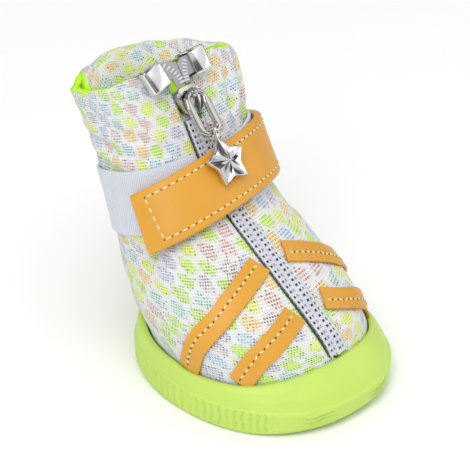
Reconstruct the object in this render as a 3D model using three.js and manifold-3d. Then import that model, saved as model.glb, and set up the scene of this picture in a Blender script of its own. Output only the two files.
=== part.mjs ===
// A small dog boot: moulded cup sole, mesh fabric upper with a front zip, hook-and-loop ankle strap
// and a star charm on the zip's pull. Lengths are in millimetres, angles in degrees.
// +X points to the toe, +Y to the boot's left side and +Z up, and the floor is z = 0.
import * as THREE from 'three';
import { mergeVertices } from 'three/addons/utils/BufferGeometryUtils.js';
import Module from 'manifold-3d';

const wasm = await Module();
wasm.setup();

// Overall sizes
const soleLength = 66;
const ballWidth = 56;
const shaftHeight = 67;
const toeFullness = 0.05;
const gap = 0.3;

// Sole
const floorHeight = 5;
const rimWall = 1.8;
const sideRimHeight = 10.6;
const toeRimHeight = 13.8;
const heelRimHeight = 14;
const sideRimInset = 1.3;
const toeRimInset = 5.6;
const heelRimInset = 0.8;
const rimRounding = 0.7;
const footprintInset = 2.4;
const bottomRounding = 1.1;
const ribPitch = 1.8;
const ribDepth = 0.55;
const ribTopHeight = 6.4;
const ribsEndAngle = 44;
const ledgeDepth = 0.5;
const toeSpring = 2;
const toeSpringStart = 15;
const heelSpring = 0.8;
const heelSpringStart = 24;
const lugDepth = 1.4;
const lugGroove = 1.6;
const lugPitch = 6.4;
const lugWave = 2.2;
const lugBorder = 4.5;

// Upper, insole and soft overlays
const upperWall = 2.2;
const insoleThickness = 1.6;
const collarEdge = 26;
const stripeWidth = 5.8;
const stripeThickness = 0.8;
const loopBandWidth = 15.6;
const loopBandThickness = 0.9;
const strapWidth = 14.6;
const strapThickness = 1.9;

// Zip
const chainWidth = 5;
const chainAbove = 0.7;
const chainBelow = 0.9;
const tapeReach = 7;
const tapeThickness = 0.7;
const sliderPlace = 9.9;
const sliderLength = 7.2;
const sliderTop = 2.2;
const sliderWidth = 7.4;
const sliderPlate = 1.1;
const bridgeWidth = 1.8;
const bridgeHeight = 2.6;
const bridgeWall = 0.7;
const zipEndThickness = 0.8;
const clampLength = 7;
const clampHeight = 6.4;
const clampThickness = 2.6;
const clampWall = 0.6;

// Pull and charm
const wireRadius = 0.6;
const pullWidth = 5.4;
const pullLength = 10.4;
const pullCorner = 1.7;
const eyeWire = 0.5;
const eyeRadius = 1.6;
const starRadius = 6.8;
const starWaist = 0.54;
const starThickness = 2.8;
const starEdge = 1.3;

const up = new THREE.Vector3(0, 0, 1);
const lateral = new THREE.Vector3(0, 1, 0);
const radians = THREE.MathUtils.degToRad;
const lerp = THREE.MathUtils.lerp;
const clamp = THREE.MathUtils.clamp;
const range = (count) => Array.from({ length: count }, (_, i) => i);

// A signed power, which squares up an ellipse's sine or cosine.
const squared = (value, squareness) => Math.sign(value) * Math.abs(value) ** (2 / squareness);

// A value read from a table of rows [place, value, ...], smoothly between the rows.
function tableValue(rows, place, column) {
  const last = rows.length - 1;
  if (place <= rows[0][0]) return rows[0][column];
  if (place >= rows[last][0]) return rows[last][column];
  const i = rows.findIndex((row) => row[0] > place) - 1;
  const t = (place - rows[i][0]) / (rows[i + 1][0] - rows[i][0]);
  return lerp(rows[i][column], rows[i + 1][column], t * t * (3 - 2 * t));
}

// Around the sole: how much of a size belongs to the toe, the heel and the sides at an angle from the toe.
function aroundRim(angle, toe, side, heel) {
  const c = Math.cos(radians(angle));
  const toeShare = Math.max(0, c) ** 2.2;
  const heelShare = Math.max(0, -c) ** 4;
  return side + (toe - side) * toeShare + (heel - side) * heelShare;
}

const rimHeight = (angle) => aroundRim(angle, toeRimHeight, sideRimHeight, heelRimHeight);
const rimInset = (angle) => aroundRim(angle, toeRimInset, sideRimInset, heelRimInset);
const cupInset = (angle) => rimInset(angle) + rimWall;
const cupFloorInset = cupInset(90) + 1.2;

// A point of the sole's outline, drawn in by an inset.
const soleSquareness = 2.15;
function solePoint(angle, inset, height) {
  const x = squared(Math.cos(radians(angle)), soleSquareness);
  const y = squared(Math.sin(radians(angle)), soleSquareness);
  const halfLength = soleLength / 2 - inset;
  const halfWidth = (ballWidth / 2 - inset) * (1 + toeFullness * x);
  return new THREE.Vector3(halfLength * x, halfWidth * y, height);
}

// The last's sections above the rim. x places are shares of the sole's length, z places shares of the
// shaft's height, the half width a share of the ball's width, and the bulge what the left side is wider by.
// The zip's line leans a little to the right.
const sections = [
  { frontX: 0.345, frontZ: 0.27, backX: -0.505, backZ: 0.265, halfWidth: 0.452, square: 2.15, full: 0.05, lean: 0.3, bulge: 0 },
  { frontX: 0.255, frontZ: 0.35, backX: -0.535, backZ: 0.335, halfWidth: 0.446, square: 2.1, full: 0.04, lean: 0.6, bulge: 0 },
  { frontX: 0.135, frontZ: 0.444, backX: -0.558, backZ: 0.418, halfWidth: 0.422, square: 2.1, full: 0.02, lean: 0.85, bulge: 0 },
  { frontX: 0.02, frontZ: 0.53, backX: -0.58, backZ: 0.493, halfWidth: 0.39, square: 2.1, full: 0, lean: 1, bulge: 0.002 },
  { frontX: -0.092, frontZ: 0.612, backX: -0.602, backZ: 0.575, halfWidth: 0.368, square: 2.15, full: 0, lean: 1, bulge: 0.01 },
  { frontX: -0.178, frontZ: 0.705, backX: -0.625, backZ: 0.66, halfWidth: 0.357, square: 2.2, full: 0, lean: 1, bulge: 0.022 },
  { frontX: -0.243, frontZ: 0.806, backX: -0.652, backZ: 0.754, halfWidth: 0.358, square: 2.25, full: 0, lean: 1, bulge: 0.042 },
  { frontX: -0.3, frontZ: 0.905, backX: -0.688, backZ: 0.852, halfWidth: 0.368, square: 2.3, full: 0, lean: 1, bulge: 0.066 },
  { frontX: -0.352, frontZ: 0.99, backX: -0.722, backZ: 0.938, halfWidth: 0.38, square: 2.35, full: 0, lean: 1, bulge: 0.084 },
];
const zipLean = -2;
const rimRow = 1;
const shaftTop = rimRow + sections.length;

// The collar above the last section, by angle from the zip: its length as a share of collarEdge and the
// angle through which it rolls inwards. The back is long and folds forward over the mouth, the left side
// has a tight roll, and the front and the right side stand up.
const collarTable = [
  [-180, 0.96, 162],
  [-164, 0.74, 150],
  [-149, 0.24, 50],
  [-132, 0.13, 8],
  [-95, 0.17, 6],
  [-60, 0.22, 4],
  [-28, 0.28, 6],
  [-10, 0.26, 8],
  [10, 0.26, 8],
  [30, 0.26, 8],
  [50, 0.19, 16],
  [72, 0.15, 60],
  [92, 0.22, 110],
  [112, 0.34, 150],
  [135, 0.6, 160],
  [157, 0.86, 163],
  [180, 0.96, 162],
];
// The collar folds towards this place, seen from above, in front of the boot's right side.
const collarFoldX = -22;
const collarFoldY = -30;

// A point of row i of the form: 0 is the lower edge in the sole, 1 the sole's rim, then the sections.
function formPoint(angle, i) {
  if (i <= rimRow) {
    const rise = rimHeight(angle) - floorHeight;
    const height = i === 0 ? gap : rise;
    const inset = lerp(cupFloorInset, cupInset(angle), height / rise);
    return solePoint(angle, inset + 1.3 * gap, floorHeight + height);
  }
  const s = sections[i - rimRow - 1];
  const x = squared(Math.cos(radians(angle)), s.square);
  const y = squared(Math.sin(radians(angle)), s.square);
  const share = (1 + x) / 2;
  const width = s.halfWidth * (1 + s.full * x) + s.bulge * Math.max(0, y);
  return new THREE.Vector3(
    lerp(s.backX, s.frontX, share) * soleLength,
    ballWidth * width * y + s.lean * zipLean * Math.max(0, x) ** 1.5,
    lerp(s.backZ, s.frontZ, share) * shaftHeight,
  );
}

// A cubic through four points, between the second and the third.
function throughPoints(p0, p1, p2, p3, t) {
  const part = (a, b, c, d) => {
    const slope1 = (c - a) / 2;
    const slope2 = (d - b) / 2;
    const t2 = t * t;
    const t3 = t2 * t;
    return (2 * t3 - 3 * t2 + 1) * b + (t3 - 2 * t2 + t) * slope1
      + (3 * t2 - 2 * t3) * c + (t3 - t2) * slope2;
  };
  return new THREE.Vector3(
    part(p0.x, p1.x, p2.x, p3.x),
    part(p0.y, p1.y, p2.y, p3.y),
    part(p0.z, p1.z, p2.z, p3.z),
  );
}

// The outer surface of the upper. angle runs round the boot from the zip, positive to the left. row counts
// up the form's rows, and one more row than the last spans the collar.
function surface(angle, row) {
  if (row >= shaftTop) return collarPoint(angle, row - shaftTop);
  const i = Math.max(0, Math.floor(row));
  const t = row - i;
  const p1 = formPoint(angle, i);
  const p2 = formPoint(angle, i + 1);
  if (i < rimRow) return p1.lerp(p2, t);
  const p0 = i === rimRow ? p1.clone().multiplyScalar(2).sub(p2) : formPoint(angle, i - 1);
  const p3 = i + 2 > shaftTop ? p2.clone().multiplyScalar(2).sub(p1) : formPoint(angle, i + 2);
  return throughPoints(p0, p1, p2, p3, t);
}

// The collar goes on from the last section and rolls inwards along an arc.
function collarPoint(angle, share) {
  const wrapped = angle > 180 ? angle - 360 : angle < -180 ? angle + 360 : angle;
  const length = tableValue(collarTable, wrapped, 1) * collarEdge;
  const roll = radians(tableValue(collarTable, wrapped, 2));
  const start = formPoint(angle, shaftTop);
  const rise = start.clone().sub(formPoint(angle, shaftTop - 1)).normalize();
  const inward = new THREE.Vector3(collarFoldX, collarFoldY, 0).sub(start).setZ(0).normalize();
  const steps = 12;
  const point = start.clone();
  const step = (length * share) / steps;
  for (const k of range(steps)) {
    const turn = roll * share * ((k + 0.5) / steps);
    point.addScaledVector(rise, step * Math.cos(turn));
    point.addScaledVector(inward, step * Math.sin(turn));
  }
  return point;
}

// The two directions along the surface, per degree and per row, and its outward normal.
function surfaceFrame(angle, row) {
  const da = 0.5;
  const dr = 0.02;
  const low = Math.max(0, row - dr);
  const round = surface(angle + da, row).sub(surface(angle - da, row)).divideScalar(2 * da);
  const rise = surface(angle, row + dr).sub(surface(angle, low)).divideScalar(row + dr - low);
  const normal = new THREE.Vector3().crossVectors(round, rise).normalize();
  return { round, rise, normal };
}

// A point at a distance outside the upper's surface, or inside it where the distance is negative.
function offsetPoint(angle, row, distance) {
  const { normal } = surfaceFrame(angle, row);
  if (row === 0) normal.setZ(0).normalize();
  return surface(angle, row).addScaledVector(normal, distance);
}

// Solids from rings and grids of points

function solidFrom(points, faces) {
  const corner = points.map((p) => [p.x, p.y, p.z]);
  const volume = faces.reduce((sum, [a, b, c]) => {
    const [p, q, r] = [points[a], points[b], points[c]];
    return sum + p.dot(new THREE.Vector3().crossVectors(q, r));
  }, 0);
  const outward = volume < 0 ? faces.map(([a, b, c]) => [a, c, b]) : faces;
  const geometry = new THREE.BufferGeometry();
  geometry.setAttribute('position', new THREE.Float32BufferAttribute(corner.flat(), 3));
  geometry.setIndex(outward.flat());
  return geometry;
}

// The faces between neighbouring rings, each ring closed on itself.
function ringFaces(rings, size, closed) {
  const faces = [];
  const spans = closed ? rings : rings - 1;
  for (const j of range(spans)) {
    for (const i of range(size)) {
      const a = j * size + i;
      const b = j * size + ((i + 1) % size);
      const c = ((j + 1) % rings) * size + ((i + 1) % size);
      const d = ((j + 1) % rings) * size + i;
      faces.push([a, b, c], [a, c, d]);
    }
  }
  return faces;
}

// Rings that come back to the first one, such as a tube's wall.
function ringLoop(rings) {
  return solidFrom(rings.flat(), ringFaces(rings.length, rings[0].length, true));
}

// Rings with the first and the last closed by a fan.
function ringStack(rings) {
  const size = rings[0].length;
  const points = rings.flat();
  const faces = ringFaces(rings.length, size, false);
  const middleOf = (ring) => ring.reduce((sum, p) => sum.add(p), new THREE.Vector3()).divideScalar(size);
  const first = points.length;
  const last = first + 1;
  const top = (rings.length - 1) * size;
  points.push(middleOf(rings[0]), middleOf(rings[rings.length - 1]));
  for (const i of range(size)) {
    const next = (i + 1) % size;
    faces.push([first, next, i], [last, top + i, top + next]);
  }
  return solidFrom(points, faces);
}

// A slab between two grids of points, [station][place].
function slab(outer, inner) {
  const rings = outer.map((row, j) => [...row, ...inner[j].slice().reverse()]);
  const size = rings[0].length;
  const width = outer[0].length;
  const faces = ringFaces(rings.length, size, false);
  const end = (rings.length - 1) * size;
  for (const i of range(width - 1)) {
    const [a, b, c, d] = [i, i + 1, size - 2 - i, size - 1 - i];
    faces.push([a, c, b], [a, d, c], [end + a, end + b, end + c], [end + a, end + c, end + d]);
  }
  return solidFrom(rings.flat(), faces);
}

// Booleans

function toManifold(geometry) {
  const bare = new THREE.BufferGeometry();
  bare.setAttribute('position', geometry.getAttribute('position').clone());
  if (geometry.index) bare.setIndex(geometry.index.clone());
  const merged = mergeVertices(bare, 1e-4);
  return new wasm.Manifold(new wasm.Mesh({
    numProp: 3,
    vertProperties: new Float32Array(merged.getAttribute('position').array),
    triVerts: new Uint32Array(merged.index.array),
  }));
}

function fromManifold(solid) {
  const mesh = solid.getMesh();
  const geometry = new THREE.BufferGeometry();
  geometry.setAttribute('position', new THREE.BufferAttribute(new Float32Array(mesh.vertProperties), 3));
  geometry.setIndex(new THREE.BufferAttribute(new Uint32Array(mesh.triVerts), 1));
  return geometry;
}

// A box between two corners, as a geometry.
function boxBetween(low, high) {
  const size = high.map((value, k) => value - low[k]);
  const middle = high.map((value, k) => (value + low[k]) / 2);
  return new THREE.BoxGeometry(...size).translate(...middle);
}

// Sole

// The angles round the sole: two for each rib, a valley and a crest, and plain ones round the toe.
function soleStations() {
  const fine = range(721).map((k) => solePoint(ribsEndAngle + k * ((360 - 2 * ribsEndAngle) / 720), 0, 0));
  const lengths = [0];
  for (const k of range(720)) lengths.push(lengths[k] + fine[k].distanceTo(fine[k + 1]));
  const ribs = Math.round(lengths[720] / ribPitch);
  const stations = [];
  for (const k of range(2 * ribs)) {
    const wanted = (lengths[720] * k) / (2 * ribs);
    const at = Math.max(1, lengths.findIndex((length) => length >= wanted));
    const part = (wanted - lengths[at - 1]) / (lengths[at] - lengths[at - 1]);
    const share = (at - 1 + part) / 720;
    stations.push({ angle: ribsEndAngle + share * (360 - 2 * ribsEndAngle), valley: k % 2 });
  }
  const toeSteps = 16;
  for (const k of range(toeSteps)) {
    stations.push({ angle: -ribsEndAngle + (2 * ribsEndAngle * k) / toeSteps, valley: 0 });
  }
  return stations;
}

// How far the sole's bottom lifts from the floor, at toe and heel.
function spring(x) {
  const toe = clamp((x - toeSpringStart) / (soleLength / 2 - toeSpringStart), 0, 1);
  const heel = clamp((-x - heelSpringStart) / (soleLength / 2 - heelSpringStart), 0, 1);
  return toeSpring * toe ** 2 + heelSpring * heel ** 2;
}

// A point of the sole's outside, lifted by the spring at toe and heel.
function liftedPoint(angle, inset, height) {
  const point = solePoint(angle, inset, height);
  const fade = clamp(1 - height / ribTopHeight, 0, 1);
  return point.setZ(height + spring(point.x) * fade);
}

// A point of the flat part of the bottom, between the lifts of toe and heel.
function flatPoint(angle, inset) {
  const point = solePoint(angle, inset, 0);
  return point.setX(clamp(point.x, -heelSpringStart, toeSpringStart));
}

// The cup: its smooth upper wall leans in towards the rim, and its lower wall is the ribs' valleys.
function cupSolid() {
  const count = 64;
  const ring = (insetAt, heightAt) => range(count).map((i) => {
    const angle = (360 * i) / count;
    return liftedPoint(angle, insetAt(angle), heightAt(angle));
  });
  const leanAt = (height) => (angle) => {
    const share = clamp((height - ribTopHeight) / (rimHeight(angle) - ribTopHeight), 0, 1);
    return ribDepth + (rimInset(angle) - ribDepth) * share ** 1.6;
  };
  const bandHeight = (ribTopHeight + sideRimHeight) / 2;
  const flat = range(count).map((i) => flatPoint((360 * i) / count, footprintInset + 1));
  const footprint = ring(() => footprintInset, () => 0);
  const halfway = flat.map((point, i) => {
    const middle = point.clone().lerp(footprint[i], 0.5);
    return middle.setZ(spring(middle.x));
  });
  return toManifold(ringStack([
    flat,
    halfway,
    footprint,
    ring(() => ribDepth + 0.3, () => bottomRounding),
    ring(() => ribDepth, () => ribTopHeight),
    ring(leanAt(bandHeight), () => bandHeight),
    ring(rimInset, (angle) => rimHeight(angle) - rimRounding),
    ring((angle) => rimInset(angle) + rimRounding * 0.6, rimHeight),
    ring(cupInset, rimHeight),
    range(count).map((i) => solePoint((360 * i) / count, cupFloorInset, floorHeight)),
  ]));
}

// The band of ribs round the lower wall, with its step on top.
function ribbedBand() {
  const stations = soleStations();
  const ring = (inset, height, ribbed) => stations.map(({ angle, valley }) => (
    liftedPoint(angle, inset + (ribbed ? valley * ribDepth : 0), height)
  ));
  return toManifold(ringStack([
    ring(bottomRounding, bottomRounding * 0.4, false),
    ring(0.2, bottomRounding, true),
    ring(0, ribTopHeight - 0.3, true),
    ring(ledgeDepth, ribTopHeight + ledgeDepth, false),
  ]));
}

function outsole() {
  const puck = (inset, low, high) => {
    const border = (height) => range(48).map((i) => solePoint((360 * i) / 48, inset, height));
    return toManifold(ringStack([border(low), border(high)]));
  };
  const grooves = grooveSolids().map(toManifold).reduce((sum, groove) => sum.add(groove));
  const cup = cupSolid().subtract(grooves.intersect(puck(lugBorder, -1, lugDepth)));
  const ribs = ribbedBand().subtract(puck(cupFloorInset / 2, -1, heelRimHeight));
  return fromManifold(cup.add(ribs));
}

// Wavy grooves across the tread, between which the lugs stand. Their number is even, so a lug is in the middle.
function grooveSolids() {
  const reach = soleLength / 2 - lugBorder * 1.6;
  const count = 2 * Math.floor(reach / lugPitch);
  const waves = 7;
  return range(count).map((k) => {
    const x = (k - (count - 1) / 2) * lugPitch;
    const line = range(waves + 1).map((j) => ({
      x: x + (j % 2 ? lugWave : -lugWave) / 2,
      y: ballWidth * (j / waves - 0.5),
    }));
    const shape = new THREE.Shape();
    line.forEach((p, j) => (j ? shape.lineTo(p.x - lugGroove / 2, p.y) : shape.moveTo(p.x - lugGroove / 2, p.y)));
    line.reverse().forEach((p) => shape.lineTo(p.x + lugGroove / 2, p.y));
    shape.closePath();
    const groove = new THREE.ExtrudeGeometry(shape, { depth: lugDepth + 2, bevelEnabled: false });
    return groove.translate(0, 0, -2);
  });
}

function insole() {
  const count = 48;
  const inset = (angle) => {
    const share = (2 * insoleThickness) / (rimHeight(angle) - floorHeight);
    const wall = Math.max(cupFloorInset, lerp(cupFloorInset, cupInset(angle), share));
    return wall + upperWall + 2.5 * gap;
  };
  const low = floorHeight + gap;
  const ring = (height, drawn) => range(count).map((i) => {
    const angle = (360 * i) / count;
    return solePoint(angle, inset(angle) + drawn, height);
  });
  const edge = insoleThickness * 0.3;
  return ringStack([ring(low, 0), ring(low + insoleThickness - edge, 0), ring(low + insoleThickness, edge)]);
}

// Upper

function upper() {
  const columns = 40;
  const rows = [0, 1, 1.5, 2.1, 2.8, 3.5, 4.2, 4.9, 5.6, 6.3, 7, 7.7, 8.4, 9.2, 10];
  const collarRows = [0.17, 0.34, 0.5, 0.66, 0.83, 1];
  const all = [...rows, ...collarRows.map((share) => shaftTop + share)];
  const angles = range(columns).map((i) => (360 * (i + 0.5)) / columns - 180);
  const outer = all.map((row) => angles.map((angle) => surface(angle, row)));
  const inner = all.map((row) => angles.map((angle) => offsetPoint(angle, row, -upperWall)));
  const tube = toManifold(ringLoop([...outer, ...inner.reverse()]));
  return fromManifold(tube.subtract(toManifold(zipSlit())));
}

// The angle at which the upper's front is a given distance to the side of the zip's line.
function angleBeside(distance, row) {
  const side = surface(90, row).y;
  return THREE.MathUtils.radToDeg(Math.asin(clamp(distance / side, -1, 1)));
}

// What is cut out of the upper for the zip.
const zipStart = 1.04;
function zipSlit() {
  const half = chainWidth / 2 + gap;
  const rows = range(26).map((k) => zipStart - 0.12 + (k / 25) * (shaftTop + 1.25 - zipStart));
  const line = (row, side, distance) => {
    const { normal } = surfaceFrame(0, row);
    return surface(0, row).addScaledVector(normal, distance).addScaledVector(lateral, side);
  };
  const outer = rows.map((row) => [line(row, -half, 4), line(row, half, 4)]);
  const inner = rows.map((row) => [line(row, -half, -4.5), line(row, half, -4.5)]);
  return slab(outer, inner);
}

// Bands that follow the upper

// The angle and row at a distance to one side of a path on the surface.
function beside(place, direction, distance) {
  const { round, rise, normal } = surfaceFrame(place.angle, place.row);
  const across = new THREE.Vector3().crossVectors(normal, direction).normalize();
  const [a, b, c] = [round.dot(round), round.dot(rise), rise.dot(rise)];
  const [p, q] = [round.dot(across) * distance, rise.dot(across) * distance];
  const whole = a * c - b * b;
  return { angle: place.angle + (p * c - q * b) / whole, row: place.row + (q * a - p * b) / whole };
}

// Places along a path given as rows [angle, row], evenly shared out.
function alongPath(path, count) {
  return range(count + 1).map((k) => {
    const at = (k / count) * (path.length - 1);
    const i = Math.min(path.length - 2, Math.floor(at));
    const read = (column) => {
      const pick = (j) => path[clamp(j, 0, path.length - 1)][column];
      const [p0, p1, p2, p3] = [i - 1, i, i + 1, i + 2].map((j) => new THREE.Vector3(pick(j)));
      return throughPoints(p0, p1, p2, p3, at - i).x;
    };
    return { angle: read(0), row: read(1) };
  });
}

function directionAt(places, k) {
  const before = places[Math.max(0, k - 1)];
  const after = places[Math.min(places.length - 1, k + 1)];
  return surface(after.angle, after.row).sub(surface(before.angle, before.row)).normalize();
}

// A band that lies on the surface all over, from a lower to an upper distance outside it.
function layingBand(path, count, width, cells, low, high) {
  const places = alongPath(path, count);
  const grid = (distance) => places.map((place, k) => {
    const direction = directionAt(places, k);
    return range(cells + 1).map((j) => {
      const spot = beside(place, direction, width * (j / cells - 0.5));
      return offsetPoint(spot.angle, spot.row, distance);
    });
  });
  return slab(grid(high), grid(low));
}

// The ankle strap's middle, from its sewn start at the back, round the left side and over the zip.
const strapPath = [
  [206, 5.8], [180, 5.9], [150, 6.15], [120, 6.5], [90, 6.8], [60, 7],
  [30, 7.08], [5, 7], [-20, 6.82], [-45, 6.52], [-70, 6.12],
];
const loopBandPath = [
  [350, 7.08], [325, 6.98], [300, 6.82], [271, 6.6], [240, 6.35], [210, 6.1], [180, 6.05], [150, 6.25],
  [120, 6.55], [90, 6.85], [60, 6.98], [34, 7], [12, 7],
];
const strapStations = 44;

function loopBand() {
  return layingBand(loopBandPath, 44, loopBandWidth, 4, gap, gap + loopBandThickness);
}

// The strap is stiff across, so it bridges the hollow of the instep: each station lies as low as the
// surface, with the band and the zip on it, lets it.
function strapLines() {
  const places = alongPath(strapPath, strapStations);
  const below = Math.max(gap + loopBandThickness, chainAbove) + 1.5 * gap;
  const frames = places.map((place, k) => {
    const direction = directionAt(places, k);
    const { normal } = surfaceFrame(place.angle, place.row);
    const across = new THREE.Vector3().crossVectors(normal, direction).normalize();
    const middle = surface(place.angle, place.row);
    const heights = range(9).map((j) => {
      const spot = beside(place, direction, strapWidth * 0.54 * (j / 4 - 1));
      return offsetPoint(spot.angle, spot.row, below).sub(middle).dot(normal);
    });
    return { middle, normal, across, lift: Math.max(...heights) };
  });
  const smoothLift = (k) => Math.max(...[-1, 0, 1].map((d) => frames[clamp(k + d, 0, strapStations)].lift));
  return frames.map((frame, k) => ({ ...frame, lift: smoothLift(k) }));
}

function strap() {
  const lines = strapLines();
  const half = strapWidth / 2;
  const grid = (extra) => lines.map(({ middle, normal, across, lift }) => [-half, half].map((side) => (
    middle.clone().addScaledVector(across, side).addScaledVector(normal, lift + extra)
  )));
  return slab(grid(strapThickness), grid(0));
}

// Two slanting strips on each side of the toe, from the zip down to the sole's rim.
const stripePaths = {
  rear: [[10.5, 4.45], [26, 4.05], [46, 3.4], [67, 2.45], [88, 1.06]],
  front: [[10.5, 3], [23, 2.6], [41, 1.94], [61, 1.06]],
};

function stripe(path, side) {
  const mirrored = path.map(([angle, row]) => [angle * side, row]);
  const strip = layingBand(mirrored, 12, stripeWidth, 2, gap, gap + stripeThickness);
  return fromManifold(toManifold(strip).subtract(toManifold(belowRim())));
}

// All that lies below the sole's rim, by which the strips are cut off.
function belowRim() {
  const ring = (inset, heightAt) => range(60).map((i) => solePoint(6 * i, inset, heightAt(6 * i)));
  const top = (angle) => rimHeight(angle) + gap;
  return ringStack([ring(-3, () => -1), ring(-3, top), ring(soleLength / 5, top)]);
}

// Zip

// A strip along the zip's line, with a half width and two distances from the upper's surface.
function zipStrip(from, to, count, half, low, high) {
  const place = (row, side, distance) => {
    const { normal } = surfaceFrame(0, row);
    return surface(0, row).addScaledVector(normal, distance).addScaledVector(lateral, side);
  };
  const rows = range(count + 1).map((k) => lerp(from, to, k / count));
  const grid = (distance) => rows.map((row) => [place(row, -half, distance), place(row, half, distance)]);
  return slab(grid(high), grid(low));
}

// The row on the zip's line that lies a distance below the slider's middle.
function rowBelowSlider(distance) {
  const middle = surface(0, sliderPlace);
  const steps = range(400).map((k) => sliderPlace - k / 100);
  return steps.find((row) => surface(0, row).distanceTo(middle) >= distance);
}

function zipChain() {
  const end = rowBelowSlider(sliderLength - sliderTop + 2 * gap);
  return zipStrip(zipStart, end, 24, chainWidth / 2, -chainBelow, chainAbove);
}

// The tape lies inside the upper, behind the chain.
function zipTape() {
  const cells = 4;
  const low = -(upperWall + 1.5 * gap + tapeThickness);
  const high = -(upperWall + 1.5 * gap);
  const rows = range(20).map((k) => lerp(zipStart + 0.4, sliderPlace, k / 19));
  const grid = (distance) => rows.map((row) => range(cells + 1).map((j) => {
    const angle = angleBeside(tapeReach * ((2 * j) / cells - 1), row);
    return offsetPoint(angle, row, distance);
  }));
  return slab(grid(high), grid(low));
}

// The frame in which slider and clamps are drawn: x up the zip's line, y to the right and z outwards.
function zipFrame() {
  const side = lateral.clone().negate();
  const along = surfaceFrame(0, sliderPlace).rise.setY(0).normalize();
  const outward = new THREE.Vector3().crossVectors(along, side).normalize();
  return new THREE.Matrix4().makeBasis(along, side, outward).setPosition(surface(0, sliderPlace));
}

const plateLow = chainAbove + gap;
const plateHigh = plateLow + sliderPlate;
const holeRadius = bridgeHeight / 2 - bridgeWall / 2;
const holeHeight = plateHigh + bridgeHeight / 2;

// The slider: a foot in the slit, a plate that narrows downwards, and a bridge with a hole for the pull.
function slider() {
  const low = sliderTop - sliderLength;
  const foot = boxBetween([low, -chainWidth / 2, -chainBelow], [sliderTop, chainWidth / 2, plateLow + 0.2]);
  const outline = new THREE.Shape();
  const half = sliderWidth / 2;
  const narrow = half * 0.72;
  const shoulder = sliderTop - sliderLength * 0.35;
  outline.moveTo(low, -narrow);
  outline.lineTo(shoulder, -half);
  outline.quadraticCurveTo(sliderTop, -half, sliderTop, -narrow * 0.8);
  outline.lineTo(sliderTop, narrow * 0.8);
  outline.quadraticCurveTo(sliderTop, half, shoulder, half);
  outline.lineTo(low, narrow);
  outline.closePath();
  const plate = new THREE.ExtrudeGeometry(outline, { depth: sliderPlate, bevelEnabled: false, curveSegments: 4 });
  plate.translate(0, 0, plateLow);
  const bridge = new THREE.CylinderGeometry(
    holeRadius + bridgeWall,
    holeRadius + bridgeWall,
    bridgeWidth,
    20,
  ).translate(0, 0, holeHeight);
  const post = boxBetween(
    [-holeRadius - bridgeWall, -bridgeWidth / 2, plateHigh - 0.2],
    [holeRadius + bridgeWall, bridgeWidth / 2, holeHeight],
  );
  const hole = new THREE.CylinderGeometry(holeRadius, holeRadius, bridgeWidth * 2, 16).translate(0, 0, holeHeight);
  const solid = [foot, plate, bridge, post].map(toManifold).reduce((sum, piece) => sum.add(piece));
  return fromManifold(solid.subtract(toManifold(hole)));
}

// The zip's two free ends turn outwards in front of the collar, each into a folded metal clamp.
// side is 1 on the right; reach is the clamp's open edge from the middle; tilt turns it in the collar's plane.
const zipEnds = {
  left: { side: -1, reach: 2.2, rise: 6.4, tilt: -3 },
  right: { side: 1, reach: 3.8, rise: 7, tilt: 12 },
};
const zipEndLow = gap + clampThickness / 2 - zipEndThickness / 2 + 0.2;

// A clamp is drawn lying along y from its open end, in the slider's frame.
function clampGeometry({ side, reach, rise, tilt }) {
  const middle = zipEndLow + zipEndThickness / 2;
  const outer = boxBetween(
    [-clampHeight / 2, 0, middle - clampThickness / 2],
    [clampHeight / 2, clampLength, middle + clampThickness / 2],
  );
  const hollow = boxBetween(
    [-clampHeight / 2 + clampWall, -1, middle - clampThickness / 2 + clampWall],
    [clampHeight / 2 - clampWall, clampLength - clampWall, middle + clampThickness / 2 - clampWall],
  );
  const shell = fromManifold(toManifold(outer).subtract(toManifold(hollow)));
  return placeZipEnd(shell, side, reach, rise, tilt);
}

function placeZipEnd(geometry, side, reach, rise, tilt) {
  geometry.rotateZ(radians(tilt));
  geometry.translate(rise, reach, 0);
  if (side < 0) geometry.applyMatrix4(new THREE.Matrix4().makeScale(1, -1, 1));
  if (side < 0) flipFaces(geometry);
  return geometry;
}

function flipFaces(geometry) {
  const index = geometry.index.array;
  for (let i = 0; i < index.length; i += 3) [index[i + 1], index[i + 2]] = [index[i + 2], index[i + 1]];
}

// A free end is a flat strip: up from the slider, and into the clamp where it is as wide as the tape.
function zipEndGeometry({ side, reach, rise, tilt }) {
  const foot = sliderTop + gap;
  const near = gap / 2;
  const halfTape = clampHeight / 2 - clampWall - gap;
  const inClamp = (x, y) => new THREE.Vector2(x, y).rotateAround(new THREE.Vector2(), radians(tilt))
    .add(new THREE.Vector2(rise, reach));
  const depth = clampLength - clampWall - 1;
  const under = Math.min(chainWidth / 2, reach - gap);
  const corners = [
    new THREE.Vector2(foot, near),
    new THREE.Vector2(foot, under),
    inClamp(-halfTape, -gap),
    inClamp(-halfTape, depth),
    inClamp(halfTape, depth),
    inClamp(halfTape, -gap),
    new THREE.Vector2(rise + halfTape * 0.5, near),
  ];
  const shape = new THREE.Shape(corners);
  const strip = new THREE.ExtrudeGeometry(shape, { depth: zipEndThickness, bevelEnabled: false });
  strip.translate(0, 0, zipEndLow);
  return fromManifold(toManifold(strip).scale([1, side, 1]));
}

// Pull and charm

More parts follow.
